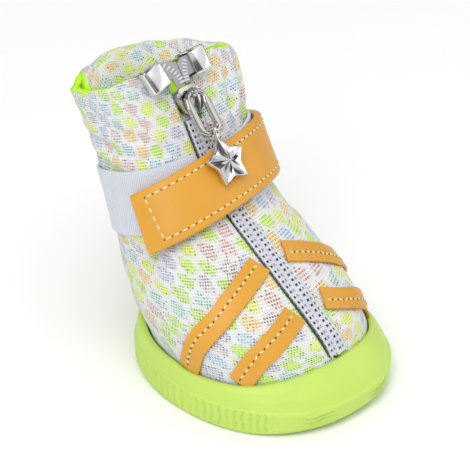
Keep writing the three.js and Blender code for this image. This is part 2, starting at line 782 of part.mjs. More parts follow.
// The pull is a wire loop, drawn hanging down from its hinge, which is the middle of its top bar.
function pullGeometry() {
  const half = pullWidth / 2;
  const turns = 4;
  const corners = [
    [half - pullCorner, -pullCorner, 0],
    [half - pullCorner, -pullLength + pullCorner, -90],
    [-half + pullCorner, -pullLength + pullCorner, -180],
    [-half + pullCorner, -pullCorner, -270],
  ];
  const line = corners.flatMap(([y, z, start]) => range(turns + 1).map((k) => {
    const turn = radians(90 + start - (90 * k) / turns);
    return {
      point: new THREE.Vector3(0, y + pullCorner * Math.cos(turn), z + pullCorner * Math.sin(turn)),
      outward: new THREE.Vector3(0, Math.cos(turn), Math.sin(turn)),
    };
  }));
  const sides = 8;
  return ringLoop(line.map(({ point, outward }) => range(sides).map((i) => {
    const turn = (2 * Math.PI * (i + 0.5)) / sides;
    return point.clone().addScaledVector(outward, wireRadius * Math.cos(turn))
      .add(new THREE.Vector3(wireRadius * Math.sin(turn), 0, 0));
  })));
}

// The charm is a puffed star under a round eye, drawn hanging down from the eye's middle.
function charmGeometry() {
  const points = 5;
  const middle = -(eyeRadius + starRadius * 0.885);
  const outline = (thickness) => range(2 * points).map((i) => {
    const turn = (Math.PI * i) / points;
    const reach = i % 2 ? starRadius * starWaist : starRadius;
    return new THREE.Vector3(thickness, reach * Math.sin(turn), middle + reach * Math.cos(turn));
  });
  const front = outline(starEdge / 2);
  const back = outline(-starEdge / 2);
  const corners = [...back, ...front];
  const last = corners.length;
  corners.push(new THREE.Vector3(-starThickness / 2, 0, middle), new THREE.Vector3(starThickness / 2, 0, middle));
  const faces = ringFaces(2, 2 * points, false);
  for (const i of range(2 * points)) {
    const next = (i + 1) % (2 * points);
    faces.push([last, next, i], [last + 1, 2 * points + i, 2 * points + next]);
  }
  const star = toManifold(solidFrom(corners, faces));
  const eye = toManifold(new THREE.TorusGeometry(eyeRadius, eyeWire, 6, 18).rotateX(Math.PI / 2));
  return fromManifold(star.add(eye));
}

// How far the pull leans out from the upright so that it lies on the strap without touching it.
function pullLean(hinge) {
  const rest = Math.max(wireRadius, starThickness / 2) + gap;
  const leans = strapLines().flatMap(({ middle, normal, across, lift }) => [-0.5, -0.25, 0, 0.25, 0.5].map((part) => {
    const point = middle.clone().addScaledVector(across, strapWidth * part)
      .addScaledVector(normal, lift + strapThickness);
    const away = point.sub(hinge);
    const distance = Math.hypot(away.x, away.z);
    if (Math.abs(away.y) > starRadius || away.z > 0) return 0;
    return Math.atan2(away.x, -away.z) + Math.asin(rest / distance);
  }));
  return Math.max(...leans);
}

// The whole boot

const lime = new THREE.MeshStandardMaterial({ color: 0xb9f03c, roughness: 0.5, metalness: 0 });
const limeLining = new THREE.MeshStandardMaterial({ color: 0xb5e51e, roughness: 0.9, metalness: 0 });
const meshFabric = new THREE.MeshStandardMaterial({ color: 0xdfe3de, roughness: 0.85, metalness: 0 });
const orangeLeather = new THREE.MeshStandardMaterial({ color: 0xe8952a, roughness: 0.45, metalness: 0 });
const greyWebbing = new THREE.MeshStandardMaterial({ color: 0xd3d6dd, roughness: 0.6, metalness: 0 });
const zipCoil = new THREE.MeshStandardMaterial({ color: 0xcfd0da, roughness: 0.4, metalness: 0 });
const chrome = new THREE.MeshStandardMaterial({ color: 0xd8d8d8, roughness: 0.15, metalness: 1 });

const boot = new THREE.Group();

function place(name, geometry, material, parent = boot) {
  const mesh = new THREE.Mesh(geometry, material);
  mesh.name = name;
  parent.add(mesh);
  return mesh;
}

place('outsole', outsole(), lime);
place('insole', insole(), limeLining);
place('upper', upper(), meshFabric);
place('loop_band', loopBand(), greyWebbing);
place('strap', strap(), orangeLeather);
for (const [position, path] of Object.entries(stripePaths)) {
  place(`stripe_${position}_left`, stripe(path, 1), orangeLeather);
  place(`stripe_${position}_right`, stripe(path, -1), orangeLeather);
}
place('zip_tape', zipTape(), limeLining);
place('zip_chain', zipChain(), zipCoil);

const zipTop = new THREE.Group();
zipTop.applyMatrix4(zipFrame());
boot.add(zipTop);
place('zip_slider', slider(), chrome, zipTop);
for (const [side, end] of Object.entries(zipEnds)) {
  place(`zip_end_${side}`, zipEndGeometry(end), zipCoil, zipTop);
  place(`zip_clamp_${side}`, clampGeometry(end), chrome, zipTop);
}

const hinge = new THREE.Vector3(0, 0, holeHeight).applyMatrix4(zipFrame());
const pull = new THREE.Group();
pull.position.copy(hinge);
pull.rotation.y = -pullLean(hinge);
boot.add(pull);
place('zip_pull', pullGeometry(), chrome, pull);
const charm = new THREE.Group();
charm.position.set(0, 0, -pullLength);
pull.add(charm);
place('star_charm', charmGeometry(), chrome, charm);

export default boot;
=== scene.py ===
import math

import bmesh
import bpy
import numpy as np
from mathutils import Matrix, Vector


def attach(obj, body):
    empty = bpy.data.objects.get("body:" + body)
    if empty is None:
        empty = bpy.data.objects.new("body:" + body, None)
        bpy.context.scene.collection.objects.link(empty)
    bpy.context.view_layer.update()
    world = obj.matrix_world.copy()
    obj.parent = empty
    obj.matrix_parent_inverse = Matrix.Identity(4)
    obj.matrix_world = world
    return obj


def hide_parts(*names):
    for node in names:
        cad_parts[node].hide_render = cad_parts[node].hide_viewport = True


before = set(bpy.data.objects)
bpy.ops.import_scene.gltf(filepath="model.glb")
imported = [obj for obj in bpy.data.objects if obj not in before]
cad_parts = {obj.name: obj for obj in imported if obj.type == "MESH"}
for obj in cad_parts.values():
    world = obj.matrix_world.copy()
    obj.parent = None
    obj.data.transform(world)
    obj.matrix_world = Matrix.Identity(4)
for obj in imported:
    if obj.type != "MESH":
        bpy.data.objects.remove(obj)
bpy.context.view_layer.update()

# A small dog boot. Lengths are in millimetres and become metres when a mesh is made.
# +X points to the toe, +Y to the boot's left, and angles run round the boot from the zip.
mm = 0.001
gap = 0.3  # between pieces that lie on each other
print("frame loaded:", len(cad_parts), "nodes")

# Material helpers
class Nodes:
    # A short way to add nodes to a tree and join them.
    def __init__(self, tree):
        self.tree = tree

    def add(self, kind, inputs=None, **settings):
        node = self.tree.nodes.new(kind)
        for key, value in settings.items():
            setattr(node, key, value)
        self.give(node, inputs or {})
        return node

    def give(self, node, inputs):
        # A socket is linked, and anything else becomes the input's fixed value.
        for key, value in inputs.items():
            if isinstance(value, bpy.types.NodeSocket):
                self.tree.links.new(value, node.inputs[key])
            else:
                node.inputs[key].default_value = value

    def math(self, operation, first, second=0.0, third=0.0, clamp=False):
        node = self.add("ShaderNodeMath", {0: first, 1: second, 2: third}, operation=operation)
        node.use_clamp = clamp
        return node.outputs[0]

    def mix(self, factor, first, second, blend="MIX"):
        node = self.add("ShaderNodeMix", data_type="RGBA", blend_type=blend)
        self.give(node, {0: factor, 6: first, 7: second})
        return node.outputs[2]

    def ramp(self, factor, stops, interpolation="LINEAR"):
        node = self.add("ShaderNodeValToRGB", {0: factor})
        node.color_ramp.interpolation = interpolation
        elements = node.color_ramp.elements
        while len(elements) > 1:
            elements.remove(elements[-1])
        elements[0].position = stops[0][0]
        elements[0].color = (*stops[0][1], 1)
        for position, colour in stops[1:]:
            elements.new(position).color = (*colour, 1)
        return node.outputs[0]

    def smoothStep(self, value, low, high, start=0.0, end=1.0):
        inputs = {"Value": value, "From Min": low, "From Max": high, "To Min": start, "To Max": end}
        node = self.add("ShaderNodeMapRange", inputs, interpolation_type="SMOOTHSTEP")
        return node.outputs[0]

    def group(self, tree, inputs):
        return self.add("ShaderNodeGroup", inputs, node_tree=tree)


# Camera and light
view = {
    "place": (250.0, -271.7, 243.4),
    "aim": (-0.60079, 0.63206, -0.48944),
    "lens": 137.0,
    "sensor": 36.0,
}


def makeCamera():
    data = bpy.data.cameras.new("camera")
    data.lens = view["lens"]
    data.sensor_width = view["sensor"]
    data.clip_start = 0.01
    camera = bpy.data.objects.new("camera", data)
    bpy.context.scene.collection.objects.link(camera)
    camera.location = Vector(view["place"]) * mm
    camera.rotation_euler = Vector(view["aim"]).to_track_quat("-Z", "Y").to_euler()
    bpy.context.scene.camera = camera


def areaLight(name, place, aim, size, power):
    data = bpy.data.lights.new(name, "AREA")
    data.shape = "SQUARE"
    data.size = size * mm
    data.energy = power
    lamp = bpy.data.objects.new(name, data)
    bpy.context.scene.collection.objects.link(lamp)
    lamp.location = Vector(place) * mm
    direction = Vector(aim) - Vector(place)
    lamp.rotation_euler = direction.to_track_quat("-Z", "Y").to_euler()


def sunLight(name, direction, angle, power):
    data = bpy.data.lights.new(name, "SUN")
    data.angle = math.radians(angle)
    data.energy = power
    lamp = bpy.data.objects.new(name, data)
    lamp.visible_glossy = False
    bpy.context.scene.collection.objects.link(lamp)
    lamp.rotation_euler = Vector(direction).to_track_quat("-Z", "Y").to_euler()


makeCamera()
sunLight("sky", (-0.35, 0.3, -1), 50, 1.05)
areaLight("key", (150, -340, 400), (-5, 0, 30), 240, 0.75)
areaLight("side", (240, 360, 260), (-5, 0, 40), 300, 0.25)


# The world is white light, and what chrome mirrors of it is banded, as by the walls of a studio.
studio = {
    "light": 0.62,
    "brighterBackdrop": 0.33,
    "waves": 3.0,
    "waveHeight": 0.12,
    "bands": [
        # height from the ground's middle to the top, colour
        (0.0, (0.5, 0.5, 0.5)),
        (0.42, (0.4, 0.4, 0.41)),
        (0.46, (0.02, 0.02, 0.02)),
        (0.57, (0.04, 0.04, 0.04)),
        (0.60, (0.8, 0.8, 0.8)),
        (0.67, (1.0, 1.0, 1.0)),
        (0.70, (0.06, 0.06, 0.07)),
        (0.78, (0.16, 0.16, 0.18)),
        (0.81, (0.8, 0.8, 0.82)),
        (0.87, (0.9, 0.9, 0.9)),
        (0.91, (0.1, 0.1, 0.11)),
        (1.0, (0.35, 0.35, 0.36)),
    ],
}


def makeWorld():
    world = bpy.data.worlds.new("studio")
    bpy.context.scene.world = world
    world.use_nodes = True
    nodes = Nodes(world.node_tree)
    backdrop = world.node_tree.nodes["Background"]
    backdrop.inputs["Color"].default_value = (1, 1, 1, 1)
    lightPath = nodes.add("ShaderNodeLightPath").outputs
    strength = nodes.math("MULTIPLY_ADD", lightPath["Is Camera Ray"], studio["brighterBackdrop"],
                          studio["light"])
    nodes.tree.links.new(strength, backdrop.inputs["Strength"])
    mirrored = nodes.add("ShaderNodeBackground", {"Strength": 1.0})
    direction = nodes.add("ShaderNodeSeparateXYZ", {0: nodes.add("ShaderNodeTexCoord").outputs["Generated"]})
    around = nodes.math("ARCTAN2", direction.outputs["Y"], direction.outputs["X"])
    wave = nodes.math("SINE", nodes.math("MULTIPLY", around, studio["waves"]))
    bent = nodes.math("MULTIPLY_ADD", wave, studio["waveHeight"], direction.outputs["Z"])
    bands = nodes.ramp(nodes.math("MULTIPLY_ADD", bent, 0.5, 0.5), studio["bands"])
    nodes.tree.links.new(bands, mirrored.inputs["Color"])
    both = nodes.add("ShaderNodeMixShader", {0: lightPath["Is Glossy Ray"]})
    nodes.tree.links.new(backdrop.outputs[0], both.inputs[1])
    nodes.tree.links.new(mirrored.outputs[0], both.inputs[2])
    output = nodes.tree.nodes["World Output"]
    nodes.tree.links.new(both.outputs[0], output.inputs[0])


makeWorld()
bpy.context.scene.view_settings.view_transform = "Standard"
print("camera and lights placed")


def newGroup(name, inputs, outputs):
    tree = bpy.data.node_groups.new(name, "ShaderNodeTree")
    for label, kind, value in inputs:
        socket = tree.interface.new_socket(label, in_out="INPUT", socket_type=kind)
        socket.default_value = value
    for label, kind in outputs:
        tree.interface.new_socket(label, in_out="OUTPUT", socket_type=kind)
    nodes = Nodes(tree)
    return tree, nodes, nodes.add("NodeGroupInput").outputs, nodes.add("NodeGroupOutput").inputs


def newMaterial(name):
    material = bpy.data.materials.new(name)
    material.use_nodes = True
    tree = material.node_tree
    tree.nodes.clear()
    nodes = Nodes(tree)
    shader = nodes.add("ShaderNodeBsdfPrincipled")
    output = nodes.add("ShaderNodeOutputMaterial")
    tree.links.new(shader.outputs[0], output.inputs[0])
    return material, nodes, shader


def wire(nodes, shader, **sockets):
    names = {"colour": "Base Color", "roughness": "Roughness", "normal": "Normal", "metallic": "Metallic"}
    nodes.give(shader, {names.get(key, key): value for key, value in sockets.items()})


# Fine grain: a pebbled height with faint changes of colour and roughness, on every plain finish.
def makeGrainGroup():
    tree, nodes, given, result = newGroup(
        "fineGrain",
        [
            ("Vector", "NodeSocketVector", (0, 0, 0)),
            ("Size", "NodeSocketFloat", 1000.0),
            ("Colour", "NodeSocketColor", (1, 1, 1, 1)),
            ("Mottle", "NodeSocketFloat", 0.06),
            ("Roughness", "NodeSocketFloat", 0.5),
        ],
        [("Colour", "NodeSocketColor"), ("Height", "NodeSocketFloat"), ("Roughness", "NodeSocketFloat")],
    )
    fine = nodes.add("ShaderNodeTexVoronoi", {"Vector": given["Vector"], "Scale": given["Size"]})
    coarse = nodes.add("ShaderNodeTexNoise", {"Vector": given["Vector"], "Scale": 70.0, "Detail": 4.0})
    grit = nodes.add("ShaderNodeTexNoise", {"Vector": given["Vector"], "Scale": given["Size"], "Detail": 2.0})
    height = nodes.math("ADD", nodes.math("MULTIPLY", fine.outputs["Distance"], 0.7), grit.outputs["Fac"])
    spread = nodes.math("MULTIPLY_ADD", coarse.outputs["Fac"], 2.0, -1.0)
    value = nodes.math("MULTIPLY_ADD", spread, given["Mottle"], 1.0)
    tinted = nodes.add("ShaderNodeHueSaturation", {"Color": given["Colour"], "Value": value})
    rough = nodes.math("MULTIPLY_ADD", spread, 0.08, given["Roughness"])
    nodes.tree.links.new(tinted.outputs[0], result["Colour"])
    nodes.tree.links.new(height, result["Height"])
    nodes.tree.links.new(rough, result["Roughness"])
    return tree


# Wear: worn edges and handled places get a lighter or duller look.
def makeWearGroup():
    tree, nodes, given, result = newGroup(
        "handWear",
        [
            ("Vector", "NodeSocketVector", (0, 0, 0)),
            ("Colour", "NodeSocketColor", (1, 1, 1, 1)),
            ("Worn", "NodeSocketColor", (1, 1, 1, 1)),
            ("Amount", "NodeSocketFloat", 0.3),
            ("Roughness", "NodeSocketFloat", 0.4),
        ],
        [("Colour", "NodeSocketColor"), ("Roughness", "NodeSocketFloat")],
    )
    geometry = nodes.add("ShaderNodeNewGeometry")
    edge = nodes.smoothStep(geometry.outputs["Pointiness"], 0.51, 0.58)
    patches = nodes.add("ShaderNodeTexNoise", {"Vector": given["Vector"], "Scale": 260.0, "Detail": 3.0})
    broken = nodes.smoothStep(patches.outputs["Fac"], 0.4, 0.62)
    mask = nodes.math("MULTIPLY", nodes.math("MULTIPLY", edge, broken), given["Amount"], clamp=True)
    colour = nodes.mix(mask, given["Colour"], given["Worn"])
    rough = nodes.math("MULTIPLY_ADD", mask, 0.2, given["Roughness"])
    nodes.tree.links.new(colour, result["Colour"])
    nodes.tree.links.new(rough, result["Roughness"])
    return tree


grainGroup = makeGrainGroup()
wearGroup = makeWearGroup()


def objectVector(nodes):
    return nodes.add("ShaderNodeTexCoord").outputs["Object"]


def bumpFrom(nodes, height, distance, strength=1.0):
    bump = nodes.add("ShaderNodeBump", {"Height": height, "Distance": distance, "Strength": strength})
    return bump.outputs[0]


# Plain grained finishes, which differ only in their values.
def grainedMaterial(name, colour, worn, roughness, grain, depth, mottle=0.06, wear=0.3, **fixed):
    material, nodes, shader = newMaterial(name)
    vector = objectVector(nodes)
    grained = nodes.group(grainGroup, {
        "Vector": vector, "Size": grain, "Colour": (*colour, 1), "Mottle": mottle, "Roughness": roughness,
    })
    handled = nodes.group(wearGroup, {
        "Vector": vector, "Colour": grained.outputs["Colour"], "Worn": (*worn, 1), "Amount": wear,
        "Roughness": grained.outputs["Roughness"],
    })
    normal = bumpFrom(nodes, grained.outputs["Height"], depth * mm)
    wire(nodes, shader, colour=handled.outputs["Colour"], roughness=handled.outputs["Roughness"],
         normal=normal, **fixed)
    return material


rubber = grainedMaterial(
    "limeRubber", (0.52, 0.71, 0.13), (0.62, 0.78, 0.26), 0.42, 1500, 0.03, mottle=0.07,
    **{"Specular IOR Level": 0.45, "Subsurface Weight": 0.12, "Subsurface Radius": (0.004, 0.004, 0.001)},
)
leather = grainedMaterial(
    "orangeLeather", (0.68, 0.325, 0.032), (0.86, 0.52, 0.16), 0.42, 1900, 0.04, mottle=0.1,
    **{"Specular IOR Level": 0.5},
)
lining = grainedMaterial(
    "limeLining", (0.58, 0.88, 0.04), (0.62, 0.95, 0.10), 0.92, 900, 0.14, mottle=0.16, wear=0.0,
    **{"Sheen Weight": 0.35},
)
edgeTape = grainedMaterial("limeEdge", (0.52, 0.92, 0.02), (0.7, 0.97, 0.2), 0.7, 1100, 0.05, wear=0.0)
chrome = grainedMaterial(
    "chrome", (0.74, 0.73, 0.73), (0.55, 0.54, 0.53), 0.09, 500, 0.004, mottle=0.04, wear=0.25, metallic=1.0,
)
pullMetal = grainedMaterial(
    "pullMetal", (0.50, 0.49, 0.46), (0.36, 0.35, 0.33), 0.12, 500, 0.006,
    mottle=0.08, wear=0.3, metallic=1.0,
)
# Painted shade: near-black for the inside faces of the zip clamps, where little light gets in.
clampInsideShade = grainedMaterial("clampInsideShade", (0.05, 0.05, 0.055), (0.1, 0.1, 0.1), 0.6, 500, 0.004)
creamThread = grainedMaterial("creamThread", (0.80, 0.74, 0.38), (0.9, 0.9, 0.7), 0.75, 3000, 0.04, wear=0.0)
paleThread = grainedMaterial("paleThread", (0.76, 0.78, 0.42), (0.8, 0.9, 0.5), 0.75, 3000, 0.04, wear=0.0)
# Painted shade: dark brown in the needle holes beside each stitch.
needleHoleShade = grainedMaterial("needleHoleShade", (0.16, 0.07, 0.02), (0.2, 0.1, 0.05), 0.8, 3000, 0.02, wear=0.0)
zipTeeth = grainedMaterial("zipTeeth", (0.57, 0.58, 0.65), (0.9, 0.9, 0.92), 0.35, 1500, 0.01, wear=0.2)
greyTape = grainedMaterial("greyTape", (0.36, 0.36, 0.35), (0.4, 0.4, 0.4), 0.85, 1500, 0.05, wear=0.0)
# Painted shade: the dark sheet behind the zip's coils, seen in the gaps between them.
zipGapShade = grainedMaterial("zipGapShade", (0.12, 0.12, 0.18), (0.3, 0.3, 0.3), 0.7, 900, 0.01, wear=0.0)


# The knit: staggered round patches on a white ground, each of small dots in its own ink over a pale wash.
# A noise of whole numbers picks each patch's colour, the same on every run.
knit = {
    "pitchAcross": 5.9,
    "pitchUp": 3.5,
    "dotAcross": 0.74,
    "dotUp": 0.62,
    "drift": 2.2,  # how far the patches wander from their rows
    "driftScale": 0.16,
    "slope": 0.08,
    "relief": 0.3,
    "ground": (0.86, 0.86, 0.87),
    # the grey of an open hole without ink is painted shade
    "hole": (0.60, 0.60, 0.64),
    "speck": (0.10, 0.09, 0.10),
    "patches": [
        # from this share of the patches on: wash, ink
        (0.00, (0.62, 0.90, 0.07), (0.24, 0.52, 0.02)),
        (0.18, (0.80, 0.90, 0.12), (0.46, 0.60, 0.01)),
        (0.33, (0.62, 0.80, 0.70), (0.03, 0.26, 0.20)),
        (0.45, (0.86, 0.72, 0.30), (0.62, 0.24, 0.03)),
        (0.56, (0.80, 0.66, 0.62), (0.30, 0.08, 0.07)),
        (0.66, (0.68, 0.70, 0.82), (0.13, 0.11, 0.30)),
        (0.76, (0.62, 0.78, 0.88), (0.04, 0.20, 0.36)),
        (0.86, (0.66, 0.88, 0.18), (0.10, 0.36, 0.10)),
        (0.94, (0.72, 0.70, 0.68), (0.14, 0.12, 0.10)),
    ],
}


def makeKnit():
    material, nodes, shader = newMaterial("meshKnit")
    flat = nodes.add("ShaderNodeUVMap", uv_map="cloth").outputs[0]
    parts = nodes.add("ShaderNodeSeparateXYZ", {0: flat})

    def cells(u, v, across, upward):
        # Numbers of the cell in a staggered pattern, and the place in it from -0.5 to 0.5.
        rowPlace = nodes.math("DIVIDE", v, upward)
        rowNumber = nodes.math("FLOOR", rowPlace)
        odd = nodes.math("MULTIPLY", nodes.math("FLOORED_MODULO", rowNumber, 2.0), 0.5)
        place = nodes.math("ADD", nodes.math("DIVIDE", u, across), odd)
        number = nodes.math("FLOOR", place)
        x = nodes.math("SUBTRACT", nodes.math("SUBTRACT", place, number), 0.5)
        y = nodes.math("SUBTRACT", nodes.math("SUBTRACT", rowPlace, rowNumber), 0.5)
        return number, rowNumber, x, y

    def radius(x, y, flatness=1.0):
        tall = nodes.math("MULTIPLY", y, flatness)
        squares = nodes.math("ADD", nodes.math("MULTIPLY", x, x), nodes.math("MULTIPLY", tall, tall))
        return nodes.math("SQRT", squares)

    def randomOf(number, rowNumber, seed):
        place = nodes.add("ShaderNodeCombineXYZ", {"X": number, "Y": rowNumber, "Z": seed})
        noise = nodes.add("ShaderNodeTexWhiteNoise", {"Vector": place.outputs[0]}, noise_dimensions="3D")
        return noise.outputs[0]

    u, v = parts.outputs["X"], parts.outputs["Y"]
    dotNumber, dotRow, dx, dy = cells(u, v, knit["dotAcross"], knit["dotUp"])
    dots = nodes.smoothStep(radius(dx, dy), 0.24, 0.4, 1.0, 0.0)
    centreU = nodes.math("SUBTRACT", u, nodes.math("MULTIPLY", dx, knit["dotAcross"]))
    centreV = nodes.math("SUBTRACT", v, nodes.math("MULTIPLY", dy, knit["dotUp"]))
    centre = nodes.add("ShaderNodeCombineXYZ", {"X": centreU, "Y": centreV})
    wobble = nodes.add("ShaderNodeTexNoise", {
        "Vector": centre.outputs[0], "Scale": knit["driftScale"], "Detail": 1.0,
    })
    drift = nodes.add("ShaderNodeSeparateXYZ", {0: wobble.outputs["Color"]})
    warpedU = nodes.math("MULTIPLY_ADD", drift.outputs["X"], knit["drift"], centreU)
    warpedV = nodes.math("MULTIPLY_ADD", drift.outputs["Y"], knit["drift"], centreV)
    slope = nodes.math("MULTIPLY_ADD", warpedU, knit["slope"], warpedV)
    number, rowNumber, x, y = cells(warpedU, slope, knit["pitchAcross"], knit["pitchUp"])
    oval = nodes.smoothStep(radius(x, y, 0.86), 0.26, 0.50, 1.0, 0.0)
    chance = randomOf(dotNumber, dotRow, 1.0)
    coloured = nodes.math("LESS_THAN", chance, nodes.math("MULTIPLY_ADD", oval, 0.86, 0.1))
    pick = randomOf(number, rowNumber, 3.0)
    wash = nodes.ramp(pick, [(start, washColour) for start, washColour, _ in knit["patches"]], "CONSTANT")
    ink = nodes.ramp(pick, [(start, inkColour) for start, _, inkColour in knit["patches"]], "CONSTANT")
    softer = nodes.smoothStep(randomOf(dotNumber, dotRow, 5.0), 0.1, 1.0, 0.0, 0.62)
    ink = nodes.mix(softer, ink, wash)
    dark = nodes.math("GREATER_THAN", randomOf(dotNumber, dotRow, 7.0), 0.93)
    ink = nodes.mix(dark, ink, (*knit["speck"], 1))
    # Each dot gets its ink, or else the grey painted shade of an open hole.
    hole = nodes.mix(coloured, (*knit["hole"], 1), ink)
    strength = nodes.math("MULTIPLY", dots, nodes.math("MULTIPLY_ADD", coloured, 0.5, 0.42))
    haze = nodes.math("MULTIPLY", oval, 0.68)
    ground = nodes.mix(haze, (*knit["ground"], 1), wash)
    colour = nodes.mix(strength, ground, hole)
    puff = nodes.math("MULTIPLY", oval, 0.9)
    height = nodes.math("SUBTRACT", puff, nodes.math("MULTIPLY", dots, 0.55))
    normal = bumpFrom(nodes, height, knit["relief"] * mm)
    wire(nodes, shader, colour=colour, roughness=0.82, normal=normal, **{"Sheen Weight": 0.1})
    return material


meshKnit = makeKnit()


# The band's webbing: pale, with fine ribs across it.
webbingSizes = {
    "rib": 0.62,
    "weft": 0.5,
    "relief": 0.07,
    # colours for the low and high places of the weave: in the ribs' valleys this is painted shade
    "low": (0.50, 0.53, 0.60, 1),
    "high": (0.68, 0.72, 0.79, 1),
}


def makeWebbing():
    material, nodes, shader = newMaterial("paleWebbing")
    flat = nodes.add("ShaderNodeUVMap", uv_map="cloth").outputs[0]
    parts = nodes.add("ShaderNodeSeparateXYZ", {0: flat})
    wave = nodes.math("SINE", nodes.math("MULTIPLY", parts.outputs["X"], 2 * math.pi / webbingSizes["rib"]))
    weft = nodes.math("SINE", nodes.math("MULTIPLY", parts.outputs["Y"], 2 * math.pi / webbingSizes["weft"]))
    fuzz = nodes.add("ShaderNodeTexNoise", {"Vector": flat, "Scale": 3.0, "Detail": 4.0})
    ribs = nodes.math("MULTIPLY", wave, 0.5)
    height = nodes.math("ADD", ribs, nodes.math("MULTIPLY", fuzz.outputs["Fac"], 1.6))
    height = nodes.math("MULTIPLY_ADD", weft, 0.15, height)
    # The colour is darker where the height is low: in the fuzz this is mottled tone, in the ribs' valleys it
    # is painted shade.
    toneAndRibShade = nodes.smoothStep(height, -0.2, 1.6)
    colour = nodes.mix(toneAndRibShade, webbingSizes["low"], webbingSizes["high"])
    normal = bumpFrom(nodes, height, webbingSizes["relief"] * mm)
    wire(nodes, shader, colour=colour, roughness=0.6, normal=normal, **{"Sheen Weight": 0.3})
    return material


# The zip's tape: a tight pale weave.
def makeTape():
    material, nodes, shader = newMaterial("zipTape")
    vector = objectVector(nodes)
    threads = {"Vector": vector, "Scale": 900.0, "Distortion": 1.0}
    weave = nodes.add("ShaderNodeTexWave", threads, bands_direction="DIAGONAL")
    grained = nodes.group(grainGroup, {
        "Vector": vector, "Size": 1800.0, "Colour": (0.66, 0.67, 0.72, 1), "Mottle": 0.08, "Roughness": 0.75,
    })
    height = nodes.math("ADD", weave.outputs["Fac"], grained.outputs["Height"])
    wire(nodes, shader, colour=grained.outputs["Colour"], roughness=grained.outputs["Roughness"],
         normal=bumpFrom(nodes, height, 0.05 * mm))
    return material


webbing = makeWebbing()
tape = makeTape()
print("materials made")


# The boot's form, with the same sizes as the part's own tables
form = {
    "soleLength": 66.0, "ballWidth": 56.0, "shaftHeight": 67.0, "toeFullness": 0.05, "soleSquare": 2.15,
    "floor": 5.0, "rimWall": 1.8,
    "rimHeight": (13.8, 10.6, 14.0), "rimInset": (5.6, 1.3, 0.8),
    "zipLean": -2.0, "collarEdge": 26.0, "collarFold": (-22.0, -30.0),
}
sectionRows = np.array([
    # frontX, frontZ, backX, backZ, halfWidth, square, full, lean, bulge
    (0.345, 0.27, -0.505, 0.265, 0.452, 2.15, 0.05, 0.3, 0),
    (0.255, 0.35, -0.535, 0.335, 0.446, 2.1, 0.04, 0.6, 0),
    (0.135, 0.444, -0.558, 0.418, 0.422, 2.1, 0.02, 0.85, 0),
    (0.02, 0.53, -0.58, 0.493, 0.39, 2.1, 0, 1, 0.002),
    (-0.092, 0.612, -0.602, 0.575, 0.368, 2.15, 0, 1, 0.01),
    (-0.178, 0.705, -0.625, 0.66, 0.357, 2.2, 0, 1, 0.022),
    (-0.243, 0.806, -0.652, 0.754, 0.358, 2.25, 0, 1, 0.042),
    (-0.3, 0.905, -0.688, 0.852, 0.368, 2.3, 0, 1, 0.066),
    (-0.352, 0.99, -0.722, 0.938, 0.38, 2.35, 0, 1, 0.084),
])
collarRows = np.array([
    # angle, length, roll
    (-180, 0.96, 162), (-164, 0.74, 150), (-149, 0.24, 50), (-132, 0.13, 8), (-95, 0.17, 6),
    (-60, 0.22, 4), (-28, 0.28, 6), (-10, 0.26, 8), (10, 0.26, 8), (30, 0.26, 8),
    (50, 0.19, 16), (72, 0.15, 60), (92, 0.22, 110), (112, 0.34, 150), (135, 0.6, 160),
    (157, 0.86, 163), (180, 0.96, 162),
])
shaftTop = 10


# Angles from -180 to 180, with the zip at 0.
def fromZip(angle):
    return (angle + 180) % 360 - 180


def curveBetween(t, start, end, startSlope, endSlope):
    first = (2 * t**3 - 3 * t**2 + 1) * start + (t**3 - 2 * t**2 + t) * startSlope
    return first + (3 * t**2 - 2 * t**3) * end + (t**3 - t**2) * endSlope


def squared(value, power):
    return np.sign(value) * np.abs(value) ** (2 / power)


def smoothTable(rows, place, column):
    places = rows[:, 0]
    place = np.clip(place, places[0], places[-1])
    i = np.clip(np.searchsorted(places, place, side="right") - 1, 0, len(places) - 2)
    t = (place - places[i]) / (places[i + 1] - places[i])
    t = t * t * (3 - 2 * t)
    return rows[i, column] * (1 - t) + rows[i + 1, column] * t


def aroundRim(angle, sizes):
    toe, side, heel = sizes
    c = np.cos(np.radians(angle))
    return side + (toe - side) * np.maximum(0, c) ** 2.2 + (heel - side) * np.maximum(0, -c) ** 4


def rimHeight(angle):
    return aroundRim(angle, form["rimHeight"])


def rimInset(angle):
    return aroundRim(angle, form["rimInset"])


def cupInset(angle):
    return rimInset(angle) + form["rimWall"]


cupFloorInset = float(cupInset(90.0)) + 1.2


def solePoint(angle, inset, height):
    x = squared(np.cos(np.radians(angle)), form["soleSquare"])
    y = squared(np.sin(np.radians(angle)), form["soleSquare"])
    halfWidth = (form["ballWidth"] / 2 - inset) * (1 + form["toeFullness"] * x)
    return np.stack([(form["soleLength"] / 2 - inset) * x, halfWidth * y, height + 0 * x], axis=-1)


def formPoint(angle, i):
    if i <= 1:
        rise = rimHeight(angle) - form["floor"]
        height = gap + 0 * rise if i == 0 else rise
        inset = cupFloorInset + (cupInset(angle) - cupFloorInset) * height / rise
        return solePoint(angle, inset + 1.3 * gap, form["floor"] + height)
    frontX, frontZ, backX, backZ, halfWidth, square, full, lean, bulge = sectionRows[i - 2]
    x = squared(np.cos(np.radians(angle)), square)
    y = squared(np.sin(np.radians(angle)), square)
    share = (1 + x) / 2
    width = halfWidth * (1 + full * x) + bulge * np.maximum(0, y)
    return np.stack([
        (backX + (frontX - backX) * share) * form["soleLength"],
        form["ballWidth"] * width * y + lean * form["zipLean"] * np.maximum(0, x) ** 1.5,
        (backZ + (frontZ - backZ) * share) * form["shaftHeight"],
    ], axis=-1)


